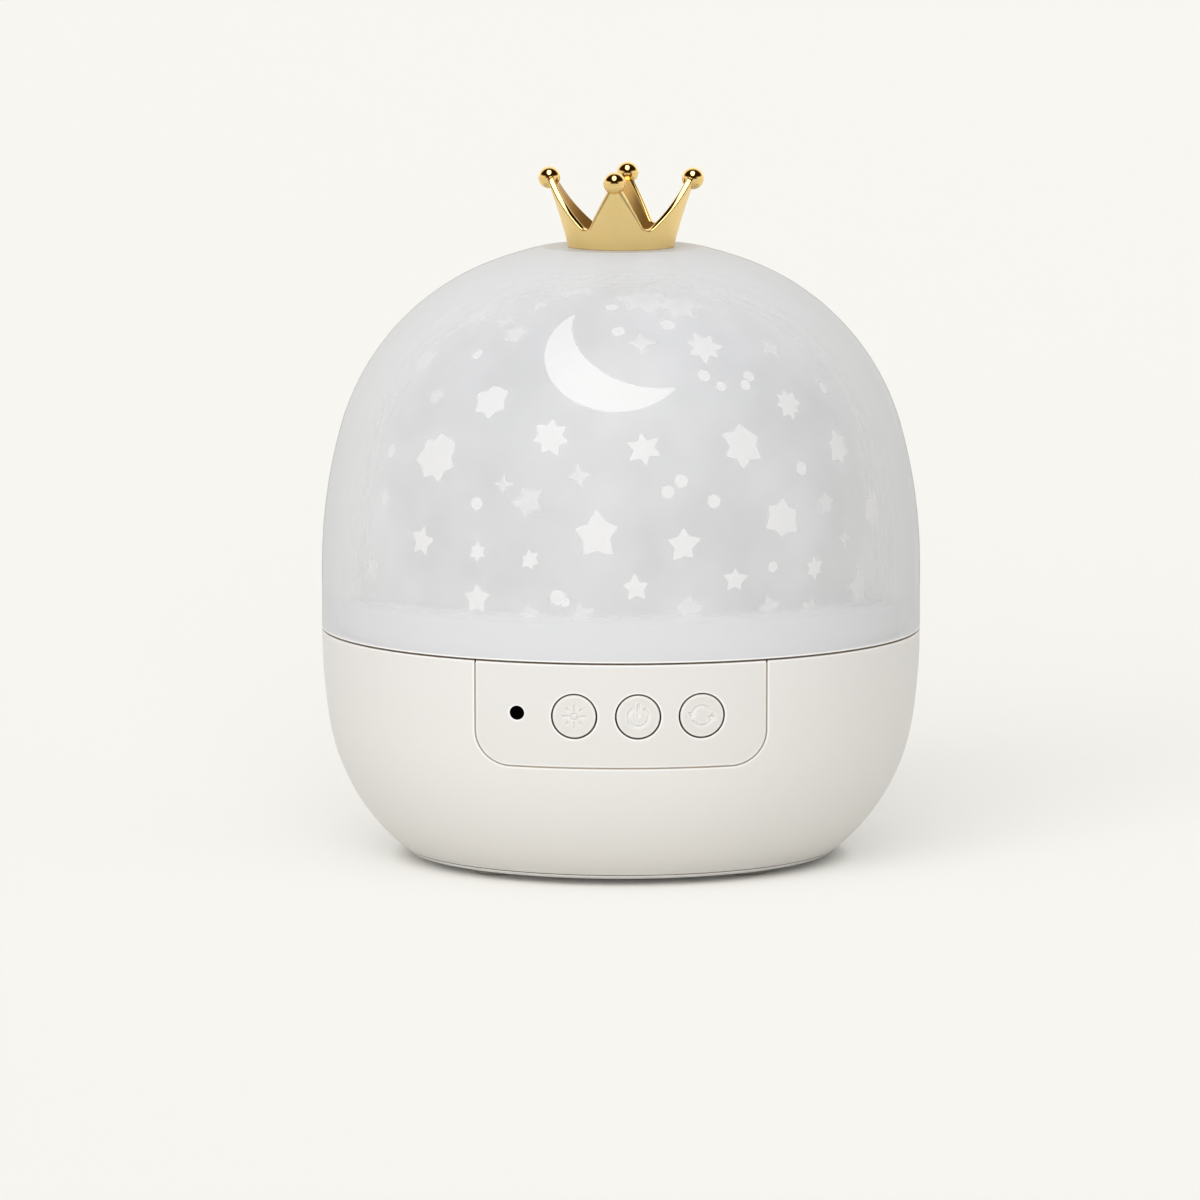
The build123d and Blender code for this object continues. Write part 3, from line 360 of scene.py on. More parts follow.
def clear_polycarbonate():
    """See-through face on, paler towards its outline and painted darker right at it, frosted at its foot,
    with a painted shade and a painted highlight at the seam, and with a soft gloss.
    """
    made, tree = new_material("clear_polycarbonate")
    where = add(tree, "TexCoord").outputs["Object"]
    height = add(tree, "SeparateXYZ", [where]).outputs["Z"]
    (skirt_low, skirt_high), (rim_low, rim_high), (frost_low, frost_high) = (
        ((seam + low) * MM, (seam + high) * MM) for low, high in (seam_ring_shade_band, rim_highlight_band, frost_band)
    )
    ring_shade = add(tree, "MapRange", [height, skirt_high, skirt_low, 0.0, 1.0])
    rim = add(tree, "MapRange", [height, rim_high, rim_low, 0.0, 0.9])
    frost = add(tree, "MapRange", [height, frost_low, frost_high, 0.88, 0.0], **soft)

    facing = add(tree, "LayerWeight", {"Blend": 0.5}).outputs["Facing"]
    depth = add(tree, "ValToRGB", [facing])
    stops = depth.color_ramp.elements
    for slant in list(haze_by_slant)[1:-1]:
        stops.new(slant)
    for stop, share in zip(stops, haze_by_slant.values()):
        stop.color = (share, share, share, 1)
    # Right at the outline the haze turns a darker grey: a painted shade.
    tint = add(tree, "ValToRGB", [facing])
    body_end, edge_end = tint.color_ramp.elements
    body_end.position, body_end.color = 0.90, linear("#dfe0e1")
    edge_end.color = linear("#a9a9aa")
    paint = add(tree, "MixRGB", [frost, tint, linear("#dcdde0")])
    # The lower edge gets a painted white highlight, and the ring in the groove a warm painted shade.
    paint = add(tree, "MixRGB", [rim, paint, linear("#ffffff")])
    paint = add(tree, "MixRGB", [ring_shade, paint, linear("#a59c8f")])

    # Light goes through the haze, so that the film behind it isn't in its shade.
    rays = add(tree, "LightPath").outputs
    lighting = add(tree, "Math", [rays["Is Shadow Ray"], rays["Is Diffuse Ray"]], operation="MAXIMUM")
    seen = add(tree, "Math", [1.0, lighting], operation="SUBTRACT")
    haze = add(tree, "Math", [depth, frost], operation="MAXIMUM")
    haze = add(tree, "Math", [haze, seen], operation="MULTIPLY")
    haze = add(tree, "Math", [haze, rim], operation="MAXIMUM")
    haze = add(tree, "Math", [haze, ring_shade], operation="MAXIMUM")
    clear = add(tree, "BsdfTransparent")
    body = add(tree, "BsdfDiffuse", {"Color": paint})
    hazed = add(tree, "MixShader", [haze, clear, body])

    gloss = add(tree, "BsdfGlossy", {"Color": linear("#ffffff"), "Roughness": 0.24})
    grazing = add(tree, "Math", [facing, 5.0], operation="POWER")
    mirror = add(tree, "MapRange", [grazing, 0, 1, 0.006, 0.25])
    mirror = add(tree, "Math", [mirror, seen], operation="MULTIPLY")
    surface = add(tree, "MixShader", [mirror, hazed, gloss])
    add(tree, "OutputMaterial", {"Surface": surface})
    return made


# %% [markdown]
# ## Ink
# The motifs are screen-printed in white ink, which lies thin and matt on the film. Its edge is soft, since
# ink creeps into the frost, so each motif's mesh carries an attribute that falls from 1 to 0 at its
# outline, and the ink's alpha reads it. Specks of 1.2 mm stand for the mesh of the screen, drawn coarser
# than real so that they show.


# %% Ink
def printed_ink(name, colour, strength=1.0):
    """White ink. Its "ink" attribute is 1 inside a motif and falls to 0 at its soft edge."""
    made, tree = new_material(name)
    where = add(tree, "TexCoord").outputs["Object"]
    speck = add(tree, "TexNoise", {"Vector": where, "Scale": 1 / (1.2 * MM), "Detail": 2.0})
    value = add(tree, "MapRange", [speck, 0, 1, 0.98, 1.02])
    hue = add(tree, "HueSaturation", {"Color": linear(colour), "Value": value})
    cover = add(tree, "Attribute", attribute_name="ink").outputs["Fac"]
    alpha = add(tree, "Math", [cover, strength], operation="MULTIPLY")
    matt = {"Base Color": hue, "Roughness": 0.6, "Specular IOR Level": 0.15, "Alpha": alpha}
    ink = add(tree, "BsdfPrincipled", matt)
    add(tree, "OutputMaterial", {"Surface": ink})
    return made


# %% [markdown]
# ## Finishes of the outside
# Base, panel and buttons are three mouldings of one cream ABS, and small differences in tone and gloss tell
# them apart. Each line below names the real material, how it was made, and what that gives the eye.

# %% Finishes of the outside
# Etched satin ABS: an even, nearly white cream with wide soft highlights, and painted highlight and shade at
# its gaps.
cream = moulded("cream_abs", "#e9e7e4", sheen=0.3, painted_highlight=0.8)
# The same ABS from a smaller mould: a shade greyer, with rounder edges, so that the panel's outline reads.
panel_cream = moulded("panel_abs", "#e6e4e1", edge=0.30, sheen=0.3, painted_highlight=0.9)
# The same ABS from a smoother mould, for fingers: the greyest of the three, with a tighter highlight.
button_cream = moulded("button_abs", "#e3e1dd", roughness=0.38, edge=0.30, sheen=0.3, painted_highlight=0.9)
# Smoked acrylic that only infrared passes: plain black, smooth, and with no highlight in so small a disc.
smooth = dict(grain=2.0, depth=0.001, edge=0.1)
window_dark = moulded("smoked_acrylic", "#020202", roughness=0.3, sheen=0.0, **smooth)
# Cast grey rubber: dull and faintly grainy, so that the feet stay quiet under the base.
rubber = moulded("foot_rubber", "#a9a49b", roughness=0.8, grain=0.25, depth=0.02, edge=0.3)
# Moulded grey acetal: a cool grey, so that the tray's rim doesn't stand out behind the cover's frosted foot.
tray_grey = moulded("grey_pom", "#dadbdd", roughness=0.4, grain=0.6, edge=0.2)
clear = clear_polycarbonate()
frosted = frosted_pet()
outside_finishes = (cream, panel_cream, button_cream, window_dark, rubber, tray_grey, clear, frosted)
print("outside:", [finish.name for finish in outside_finishes])

# %% [markdown]
# ## Finishes of the inside
# The inner parts are bought in or moulded for use and not for looks, so they keep the plain finish that
# their making gives: glossy acetal, matt nylon, lacquered boards and plated steel.

# %% Finishes of the inside
# Moulded acetal: white and waxy, with a tighter highlight than ABS.
white_inner = moulded("white_pom", "#e6e6e4", roughness=0.35, grain=0.6, edge=0.2)
# Moulded nylon: black with a dry, dull surface.
dark_plastic = moulded("black_nylon", "#161616", roughness=0.5, grain=0.5, edge=0.1)
# Turned black acetal: slick and dark, as a running surface is.
washer = moulded("black_acetal", "#202122", roughness=0.3, grain=0.8, edge=0.1)
# Moulded opal acrylic: milky white and smooth, so that the light source behind it can't be made out.
milky = moulded("opal_acrylic", "#f2f1ee", roughness=0.25, grain=1.5, depth=0.002, edge=0.2)
# Solder lacquer over glass fibre: deep green and glossy, with the weave just showing.
board_green = moulded("circuit_lacquer", "#1d5a38", roughness=0.28, grain=0.5, depth=0.01, edge=0.1)
# Shrunk sleeve of a battery cell: blue-grey, smooth and tight, with a long highlight.
cell_wrap = moulded("cell_sleeve", "#59636e", roughness=0.3, grain=1.0, edge=0.3)
# Cast resin with phosphor: opaque yellow and very smooth.
led_resin = moulded("led_resin", "#e7cf74", roughness=0.15, grain=1.0, edge=0.1)
# Zinc plating on screws and shafts: cool grey, with a soft mirror.
steel = metal("zinc_plated_steel", "#c9ccd0", roughness=0.30)
# Rolled sheet of the motor's can: grey, with the short level streaks that rolls leave.
can_steel = metal("rolled_steel", "#b9bcc0", roughness=0.34, brush=0.5)
# Nickel strip of springs and sockets: warmer and brighter than zinc.
nickel = metal("nickel_strip", "#d3d0c8", roughness=0.22)
inside_finishes = (white_inner, dark_plastic, washer, milky, board_green, cell_wrap, led_resin)
inside_metals = (steel, can_steel, nickel)
print("inside:", [finish.name for finish in inside_finishes + inside_metals])

# %% [markdown]
# ## Give each part its finish
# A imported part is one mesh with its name, so its finish goes into that mesh's only slot. The list reads
# finish first, because many parts share one.

# %% Give each part its finish
parts_by_finish = (
    (cream, "base_shell bottom_cover battery_door"),
    (panel_cream, "control_panel"),
    (button_cream, "button_light button_power button_rotate"),
    (clear, "outer_cover"),
    (frosted, "projection_film"),
    (tray_grey, "turntable"),
    (washer, "hub_bush thrust_washer"),
    (white_inner, "drive_pinion light_tower deck wire_headers"),
    (dark_plastic, "tact_switches infrared_receiver controller_chip"),
    (dark_plastic, "plunger_light plunger_power plunger_rotate"),
    (window_dark, "remote_window"),
    (rubber, "rubber_feet"),
    (milky, "diffuser"),
    (led_resin, "led"),
    (cell_wrap, "battery_cells"),
    (board_green, "led_board main_board inlet_board"),
    (can_steel, "gear_motor"),
    (nickel, "power_socket battery_contacts"),
    (steel, "motor_shaft motor_screws tower_screws board_screws inlet_screws housing_screws door_screws"),
)
for finish, names in parts_by_finish:
    for name in names.split():
        data = nodes[name].data
        data.materials.clear()
        data.materials.append(finish)
print("finished parts:", sum(len(names.split()) for finish, names in parts_by_finish), "of", len(nodes))


# %% [markdown]
# ## A piece of the scene
# What the lesson models from here on becomes an object in the same way. It takes a bmesh, shades it
# smoothly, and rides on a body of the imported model, so that it moves with that body's joint.


# %% A piece of the scene
def make_piece(name, mesh, body, finish):
    """A smooth object from a bmesh that rides on a body."""
    data = bpy.data.meshes.new(name)
    mesh.to_mesh(data)
    mesh.free()
    data.shade_smooth()
    data.materials.append(finish)
    made = bpy.data.objects.new(name, data)
    bpy.context.scene.collection.objects.link(made)
    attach(made, body)
    print(name, "faces:", len(data.polygons))
    return made


# %% [markdown]
# ## Crown
# The real crown is one plated moulding: a flared wall cut into four points, a ball on each. What makes it
# read as metal is its rounded rim, which catches a bright line. It could be cut out of a cone, but the cut
# would leave ragged faces. Here an open cylinder's rows slide down until its top edge has the points'
# outline, and then it gets a wall.

# %% Sizes of the crown
seat_z = 0.1194
crown_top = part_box("crown")[1].z
base_radius, lip_radius = 10.3 * MM, 14.5 * MM
# The wall bows inwards by the flare, half way up.
wall, flare = 1.3 * MM, 0.25 * MM
ball_radius, ball_overhang = 2.15 * MM, 0.15 * MM
ball_circle = lip_radius - wall / 2 + ball_overhang
wall_height = crown_top - ball_radius - seat_z
# Height, roundness and azimuth of the valleys, and the slopes of the narrow and the wide points.
valley_z, valley_bend, valley_turn = 3.8 * MM, 2.5 * MM, math.radians(34)
narrow_slope, wide_slope = math.radians(50), math.radians(34)
# The whole crown is turned a little on the lamp.
crown_turn = math.radians(-5.2)
columns, rows = 192, 12
rim_round, foot_round = 0.36 * MM, 0.18 * MM
floor_thickness = 1.2 * MM


def rim_height(azimuth):
    """Height of the rim above the seat. Points are at quarter turns, narrow at the front and back."""
    folded = math.acos(abs(math.cos(azimuth)))
    across = lip_radius * math.tan(folded - valley_turn)
    slope = wide_slope if across > 0 else narrow_slope
    bend = valley_bend * math.sin(slope)
    if abs(across) < bend:
        return valley_z + valley_bend - math.sqrt(valley_bend**2 - across**2)
    rise = valley_bend * (1 - math.cos(slope)) + (abs(across) - bend) * math.tan(slope)
    return min(valley_z + rise, wall_height)


def flared_radius(height):
    """Outside radius of the crown's wall at a height above its seat."""
    share = height / wall_height
    return base_radius + (lip_radius - base_radius) * share - 4 * flare * share * (1 - share)


print("crown's height in mm:", round((crown_top - seat_z) / MM, 2))

# %% The crown's wall
crown_mesh = bmesh.new()
bmesh.ops.create_cone(crown_mesh, cap_ends=False, segments=columns, radius1=1, radius2=1, depth=1)
uprights = [e for e in crown_mesh.edges if abs(e.verts[0].co.z - e.verts[1].co.z) > 0.5]
bmesh.ops.subdivide_edges(crown_mesh, edges=uprights, cuts=rows - 1)
for vert in crown_mesh.verts:
    rim = rim_height(math.atan2(vert.co.x, -vert.co.y))
    row = round((vert.co.z + 0.5) * rows)
    # The rows next to both ends stay clear of the edges that are rounded below.
    first, last = 2 * foot_round, rim - 1.5 * rim_round
    height = {0: 0.0, rows: rim}.get(row, first + (last - first) * (row - 1) / (rows - 2))
    around = Vector((vert.co.x, vert.co.y, 0)).normalized()
    vert.co = around * flared_radius(height) + Vector((0, 0, seat_z + height))
bmesh.ops.recalc_face_normals(crown_mesh, faces=crown_mesh.faces)
outside = crown_mesh.faces[0]
if outside.normal.dot(outside.calc_center_median() - Vector((0, 0, seat_z))) < 0:
    bmesh.ops.reverse_faces(crown_mesh, faces=crown_mesh.faces)
bmesh.ops.solidify(crown_mesh, geom=crown_mesh.faces[:], thickness=wall)
bmesh.ops.recalc_face_normals(crown_mesh, faces=crown_mesh.faces)
print("crown wall's widest radius in mm:", round(max(v.co.xy.length for v in crown_mesh.verts) / MM, 2))

# %% The crown's rounded rim and foot
sharp_angle = math.radians(55)
foot_zone = seat_z + 0.5 * MM
rounding = dict(offset_type="OFFSET", segments=5, profile=0.5, affect="EDGES", material=-1)
for offset, top in ((rim_round, True), (foot_round, False)):
    rims = [e for e in crown_mesh.edges if e.calc_face_angle(0) > sharp_angle]
    rims = [e for e in rims if (e.verts[0].co.z > foot_zone) == top]
    bmesh.ops.bevel(crown_mesh, geom=rims, offset=offset, **rounding)
print("crown faces with round edges:", len(crown_mesh.faces))

# %% [markdown]
# ## The crown's plating
# Bright gold would mirror the dark room over the whole wall. A real moulding is polished on its rim and
# balls and satin on its faces, and inside the crown a browner, duller gold is a painted shade that dims the
# window mirrored there. So each face gets its finish from the way that it points. The wall's long faces next
# to narrow round ones would bend their shading, which Weighted Normal mends.

# %% The crown's plating, floor and balls
# Polished gold plate: sharp dark and bright lines along the rim and in the balls.
gold = metal("gold_plating", "#f8d78e", roughness=0.09, tone=0.02, edge=0.05)
# Gold plate over a satin moulding: a calm, pale gold with one wide highlight.
satin_gold = metal("satin_gold_plating", "#fee19c", roughness=0.40, tone=0.03, edge=0.05)
# Inside the crown: a browner, duller gold, a painted shade.
shaded_inner_gold = metal("shaded_inner_gold_plating", "#c8a464", roughness=0.42, tone=0.03, edge=0.05)
polished, satin, shaded_inner = 0, 1, 2
square_on = 0.85
for face in crown_mesh.faces:
    away = face.calc_center_median()
    away.z = 0
    turned_out = face.normal.dot(away.normalized())
    face.material_index = satin if turned_out > square_on else shaded_inner if turned_out < -square_on else polished
inner = base_radius - wall / 2
middle = Matrix.Translation((0, 0, seat_z + floor_thickness / 2))
disc = dict(segments=columns, radius1=inner, radius2=inner, depth=floor_thickness)
bmesh.ops.create_cone(crown_mesh, cap_ends=True, matrix=middle, **disc)
for quarter in range(4):
    turn = Matrix.Rotation(quarter * math.pi / 2, 4, "Z")
    place = turn @ Matrix.Translation((ball_circle, 0, seat_z + wall_height))
    bmesh.ops.create_icosphere(crown_mesh, subdivisions=4, radius=ball_radius, matrix=place)
turn = Matrix.Rotation(crown_turn, 3, "Z")
bmesh.ops.rotate(crown_mesh, verts=crown_mesh.verts, cent=(0, 0, 0), matrix=turn)
crown = make_piece("crown_plating", crown_mesh, "cover", gold)
crown.data.materials.append(satin_gold)
crown.data.materials.append(shaded_inner_gold)
even = crown.modifiers.new("even_faces", "WEIGHTED_NORMAL")
even.weight = 80
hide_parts("crown")

# %% [markdown]
# ## The film's surface
# The stars, dots and moon are ink on the film. Each motif starts flat, as a printer would draw it, and is
# then pressed onto the film. Shrinkwrap could do that, but the film's outline is three arcs, so plain
# geometry finds the nearest point on them exactly. The shoulder's arc touches the other two from inside,
# which gives its centre.

# %% The film's surface
side_centre = Vector((half_width - side_arc, seam + straight))
top_centre = Vector((0, apex - top_arc))
apart = top_centre - side_centre
reach_a, reach_b = side_arc - shoulder_arc, top_arc - shoulder_arc
along = (reach_a**2 - reach_b**2 + apart.length_squared) / (2 * apart.length)
off = math.sqrt(reach_a**2 - along**2)
step = apart.normalized()
shoulder_centre = side_centre + along * step + off * Vector((-step.y, step.x))
side_end = (shoulder_centre - side_centre).normalized()
top_start = (shoulder_centre - top_centre).normalized()


def radius_at(height, inset):
    """Radius, in millimetres, of the dome's surface taken in by an inset."""
    if height < side_centre.y:
        return half_width - inset
    centre, radius = side_centre, side_arc - inset
    if height > top_centre.y + (top_arc - inset) * top_start.y:
        centre, radius = top_centre, top_arc - inset
    elif height > side_centre.y + (side_arc - inset) * side_end.y:
        centre, radius = shoulder_centre, shoulder_arc - inset
    return centre.x + math.sqrt(max(0, radius**2 - (height - centre.y) ** 2))


def on_dome(point, inset):
    """Nearest point on the dome's surface taken in by an inset."""
    around = math.atan2(point.y, point.x)
    flat = Vector((math.hypot(point.x, point.y), point.z))
    if flat.y < side_centre.y:
        found = Vector((half_width - inset, flat.y))
    else:
        centre, radius = shoulder_centre, shoulder_arc
        if (flat - side_centre).normalized().y < side_end.y:
            centre, radius = side_centre, side_arc
        elif (flat - top_centre).normalized().x < top_start.x:
            centre, radius = top_centre, top_arc
        found = centre + (flat - centre).normalized() * (radius - inset)
    return Vector((found.x * math.cos(around), found.x * math.sin(around), found.y))


print("film's radius in mm at heights 60 and 100:", [round(radius_at(h, film_inset), 2) for h in (60, 100)])

# %% [markdown]
# ## Pressing a motif onto the film
# A motif's place is an azimuth round the film and a height. Its flat points are laid on the plane that
# touches the film there and then dropped onto the surface. The ink lies a few hundredths of a millimetre
# proud of the film, so that the two never fight over the same spot.

# %% Pressing a motif onto the film
ink_inset = film_inset - 0.06


def spot(azimuth, height, inset):
    """Point on the dome, with its sideways and upward directions. Azimuth 0 is in front, + to the right."""
    a = math.radians(azimuth)
    rise = 0.05
    outward = Vector((math.sin(a), -math.cos(a), 0))
    sideways = Vector((math.cos(a), math.sin(a), 0))
    point = outward * radius_at(height, inset) + Vector((0, 0, height))
    above = outward * radius_at(height + rise, inset) + Vector((0, 0, height + rise))
    return point, sideways, (above - point).normalized()


def press_on(verts, azimuth, height, twist=0.0, shift=(0, 0)):
    """Moves flat motif points, in millimetres about its middle, onto the film."""
    point, sideways, upward = spot(azimuth, height, ink_inset)
    c, s = math.cos(math.radians(twist)), math.sin(math.radians(twist))
    for vert in verts:
        x = vert.co.x * c - vert.co.y * s + shift[0]
        y = vert.co.x * s + vert.co.y * c + shift[1]
        vert.co = on_dome(point + sideways * x + upward * y, ink_inset) * MM


print("front of the film at height 80, in mm:", [round(v, 2) for v in spot(0, 80, ink_inset)[0]])

# %% [markdown]
# ## Stars and dots
# A printed star is never crisp: its tips are blunt, its arms differ, and where ink ran together a notch is
# filled. So a star's outline is a formula with those faults in it, and a grid wrapped round its middle
# takes that outline ring by ring. The last ring lies a little outside, where the ink is clear.

# %% Stars and dots
blunt_tip, tip_wave = 0.90, 0.06
filled_reach, filled_width, filled_slope = 0.88, 0.55, 3.0
uneven_twice, uneven_thrice = 0.06, 0.05


def star_edge(angle, points, waist, filled):
    """A star's reach at an angle, as a share of its tips'. waist is the reach of its notches, and filled is
    the direction, in degrees, where they are closed, or None."""
    half = math.pi / points
    a = abs((angle + half) % (2 * half) - half)
    run, rise = waist * math.cos(half) - 1, waist * math.sin(half)
    edge = rise / (math.cos(a) * rise - math.sin(a) * run)
    if filled is not None:
        nearness = math.cos(angle - math.radians(filled)) - filled_width
        edge = max(edge, filled_reach * min(1.0, max(0.0, filled_slope * nearness)))
    return min(edge, blunt_tip + tip_wave * math.cos(points * a))


def motif(mesh, azimuth, height, size, points, twist, waist, soft_edge, filled=None):
    """A star, or a dot if it has no points. Rings run from its middle to its outline, the last one clear."""
    around = 8 * points if points else 24
    ink = mesh.verts.layers.float.get("ink") or mesh.verts.layers.float.new("ink")
    rings = (0.0, 0.35, 0.7, 1.0, 1.0 + soft_edge)
    made = bmesh.ops.create_grid(mesh, x_segments=around, y_segments=len(rings) - 1, size=1.0)
    for vert in made["verts"]:
        angle = math.pi * vert.co.x
        ring = round((vert.co.y + 1) / 2 * (len(rings) - 1))
        reach = size / 2 * rings[ring]
        if points:
            uneven = 1 + uneven_twice * math.sin(2 * angle + azimuth)
            uneven += uneven_thrice * math.sin(3 * angle + height)
            reach *= uneven * star_edge(angle, points, waist, filled)
        vert.co = (reach * math.sin(angle), reach * math.cos(angle), 0)
        vert[ink] = 0.0 if ring == len(rings) - 1 else 1.0
    press_on(made["verts"], azimuth, height, twist)


tip_and_notch = [round(star_edge(angle, 5, 0.5, None), 2) for angle in (0, math.pi / 5)]
print("reach of a five-pointed star's tips and notches:", tip_and_notch)

# %% [markdown]
# ## Where the motifs are
# A printer's artwork is a list of places, and so is this. Some motifs were printed thinner and look soft,
# so they are a second list with a greyer ink. The artwork runs twice round the film, so that its back looks
# like its front.

# %% Where the motifs are
# Azimuth in degrees, height, size across, number of points, twist, waist, and for some a filled direction.
bold_stars = [
    (-65, 99, 6.6, 6, 18, 0.58), (-33, 93, 7.6, 6, 8, 0.70, 10), (-45, 82, 10.2, 7, -4, 0.72, 45),
    (-16, 87, 7.6, 7, 0, 0.62), (5, 85, 7.2, 6, 8, 0.52), (25, 103, 8.2, 7, 12, 0.55),
    (28, 85, 8.8, 6, -4, 0.64, 20), (44, 92, 6.8, 8, 0, 0.60), (74, 100, 8.2, 8, 12, 0.58),
    (57, 83, 7.6, 6, 6, 0.62), (36, 71, 8.0, 6, -10, 0.70), (-5, 69, 9.2, 5, 3, 0.60),
    (13, 67, 6.9, 5, 0, 0.56), (3, 59, 5.7, 5, 4, 0.52), (24, 60, 5.2, 5, -4, 0.54),
    (44, 61, 5.2, 6, 0, 0.50), (-46, 66, 6.6, 5, -8, 0.52), (-31, 65, 4.2, 6, 0, 0.55),
    (-19, 64, 4.0, 6, 12, 0.60), (-31, 56, 6.2, 5, 0, 0.56), (68, 70, 8.8, 7, 0, 0.66, 60),
    (-80, 82, 9.4, 6, 0, 0.60), (-61, 73, 5.0, 4, 0, 0.52),
]
soft_stars = [
    (70, 108, 7.8, 7, 0, 0.6), (10, 111, 9.0, 6, 10, 0.6), (-26, 113, 9.0, 6, 0, 0.6),
    (24, 110, 7.8, 6, 22, 0.6), (32, 54, 4.4, 5, 10, 0.6), (42, 53, 4.2, 5, 30, 0.6),
    (14, 54.5, 5.2, 5, 0, 0.6), (-8, 54, 4.6, 4, 20, 0.42), (-19, 53.5, 3.2, 5, 0, 0.7),
    (59, 56, 7.0, 5, 8, 0.5), (49, 73, 4.0, 5, 0, 0.6), (54, 66, 3.2, 4, 0, 0.42),
    (-20, 75, 5.4, 5, 25, 0.6), (-9, 80, 4.0, 4, 10, 0.42), (-26, 78, 3.4, 4, 0, 0.42),
    (48, 102, 4.8, 4, 15, 0.42), (6, 104, 4.8, 4, 0, 0.42), (-35, 105, 4.8, 5, 0, 0.6),
    (-43, 107, 4.0, 4, 0, 0.42), (-51, 93, 3.4, 5, 0, 0.6), (-87, 113, 5.2, 5, 0, 0.6),
    (-35, 110, 3.8, 4, 0, 0.42), (-60, 108, 7.0, 6, 0, 0.6), (-72, 66, 5.0, 5, 0, 0.5),
    (-64, 59, 4.6, 5, 10, 0.6), (82, 88, 5.4, 5, 0, 0.6), (78, 61, 4.6, 6, 0, 0.6),
    (50, 112, 6.5, 5, 0, 0.6), (-8, 115, 6.0, 5, 20, 0.6),
]
# Azimuth, height and size of each dot.
dots = [
    (20, 75, 2.4), (33, 62, 1.9), (10, 77, 2.3), (13, 79, 2.3), (43, 80, 2.4), (-32, 74, 2.3), (33, 96, 2.1),
    (35, 97.5, 2.1), (26, 96, 1.9), (22, 98, 2.3), (60, 94, 2.5), (-1, 106, 2.3), (16, 107, 2.7),
    (-4, 110, 2.3), (-44, 101, 2.2), (-62, 82, 2.7), (-13, 57, 2.7), (-11.5, 56.2, 1.8),
]
print("artwork's motifs:", len(bold_stars) + len(soft_stars) + len(dots))

# %% Make the motifs
# How far each kind's clear last ring lies outside its outline, as a share of its reach.
bold_soft, dot_soft, thin_soft = 0.06, 0.2, 0.45
bold_mesh, soft_mesh = bmesh.new(), bmesh.new()
for turn in (0, 180):
    for azimuth, height, size, points, twist, waist, *filled in bold_stars:
        motif(bold_mesh, azimuth + turn, height, size, points, twist, waist, bold_soft, *filled)
    for azimuth, height, size in dots:
        motif(bold_mesh, azimuth + turn, height, size, 0, 0, 0, dot_soft)
    for azimuth, height, size, points, twist, waist in soft_stars:
        motif(soft_mesh, azimuth + turn, height, size, points, twist, waist, thin_soft)
print("points of the full and the thin print:", len(bold_mesh.verts), len(soft_mesh.verts))

# %% [markdown]
# ## Moon
# The crescent lies between two arcs that meet at its tips. A grid bends to it: its long rows follow the
# outer arc on one side and the inner arc on the other, and its first and last rows lie a little outside,
# where the ink is clear.

# %% Moon
moon_azimuth, moon_height = -4, 99.5
moon_outer, moon_inner, tip_gap = 14.26, 16.5, 14.15
moon_twist, moon_shift = -42.7, (3.2, 6.2)
moon_soft = 0.35
moon_ribs, moon_rows = 40, 6
outer_drop = math.sqrt(moon_outer**2 - tip_gap**2)
inner_rise = math.sqrt(moon_inner**2 - tip_gap**2)
outer_open = math.pi - math.asin(tip_gap / moon_outer)
inner_open = math.asin(tip_gap / moon_inner)
moon_mesh = bmesh.new()
moon_ink_layer = moon_mesh.verts.layers.float.new("ink")
bmesh.ops.create_grid(moon_mesh, x_segments=moon_ribs, y_segments=moon_rows, size=1.0)
for vert in moon_mesh.verts:
    row = round((vert.co.y + 1) / 2 * moon_rows)
    across = min(1, max(0, (row - 1) / (moon_rows - 2)))
    edge = {0: moon_soft, moon_rows: -moon_soft}.get(row, 0)
    a, b = vert.co.x * outer_open, vert.co.x * inner_open
    out = Vector(((moon_outer + edge) * math.sin(a), -(moon_outer + edge) * math.cos(a) - outer_drop))
    inn = Vector(((moon_inner + edge) * math.sin(b), -(moon_inner + edge) * math.cos(b) + inner_rise))
    place = out.lerp(inn, across)
    vert.co = (place.x, place.y, 0)
    vert[moon_ink_layer] = 0.0 if edge else 1.0
press_on(moon_mesh.verts, moon_azimuth, moon_height, moon_twist, moon_shift)
print("moon's thickness in mm:", round(moon_outer + outer_drop - moon_inner + inner_rise, 2))

# %% [markdown]
# ## Print the film
# Three inks make the prints: a full one for the stars, a thin one for the soft stars and the brightest for
# the moon. They ride with the tray, as the film does. Each motif's inner ring has no size, so its doubles
# are merged first. The ink casts no shadow and no bounced light, because the film under it already does.

# %% Print the film
for print_mesh in (bold_mesh, soft_mesh, moon_mesh):
    bmesh.ops.remove_doubles(print_mesh, verts=print_mesh.verts, dist=0.002 * MM)
# One full layer of matt white: nearly covers the grey of the film.
white_ink = printed_ink("white_ink", "#eaeaeb", 0.92)
# Half a layer: the film's grey comes through, so these motifs seem to lie deeper.
thin_ink = printed_ink("thin_ink", "#ebebec", 0.5)
# Two layers: the whitest and closed.
moon_ink = printed_ink("moon_ink", "#ececed")
bold_prints = make_piece("print_stars", bold_mesh, "turntable", white_ink)
soft_prints = make_piece("print_soft_stars", soft_mesh, "turntable", thin_ink)
moon = make_piece("print_moon", moon_mesh, "turntable", moon_ink)
for print_piece in (bold_prints, soft_prints, moon):
    print_piece.visible_shadow = False
    print_piece.visible_diffuse = False

# %% [markdown]
# ## Icons
# Each button has an icon sunk into its face: a sun for the light, the usual power sign, and two arrows in a
# circle for the turning film. A bump would vanish from the side and from the exported shape, so the icons
# are really cut. Arcs and bars start as small grids that are bent to shape. All sizes are millimetres from
# the icon's middle.


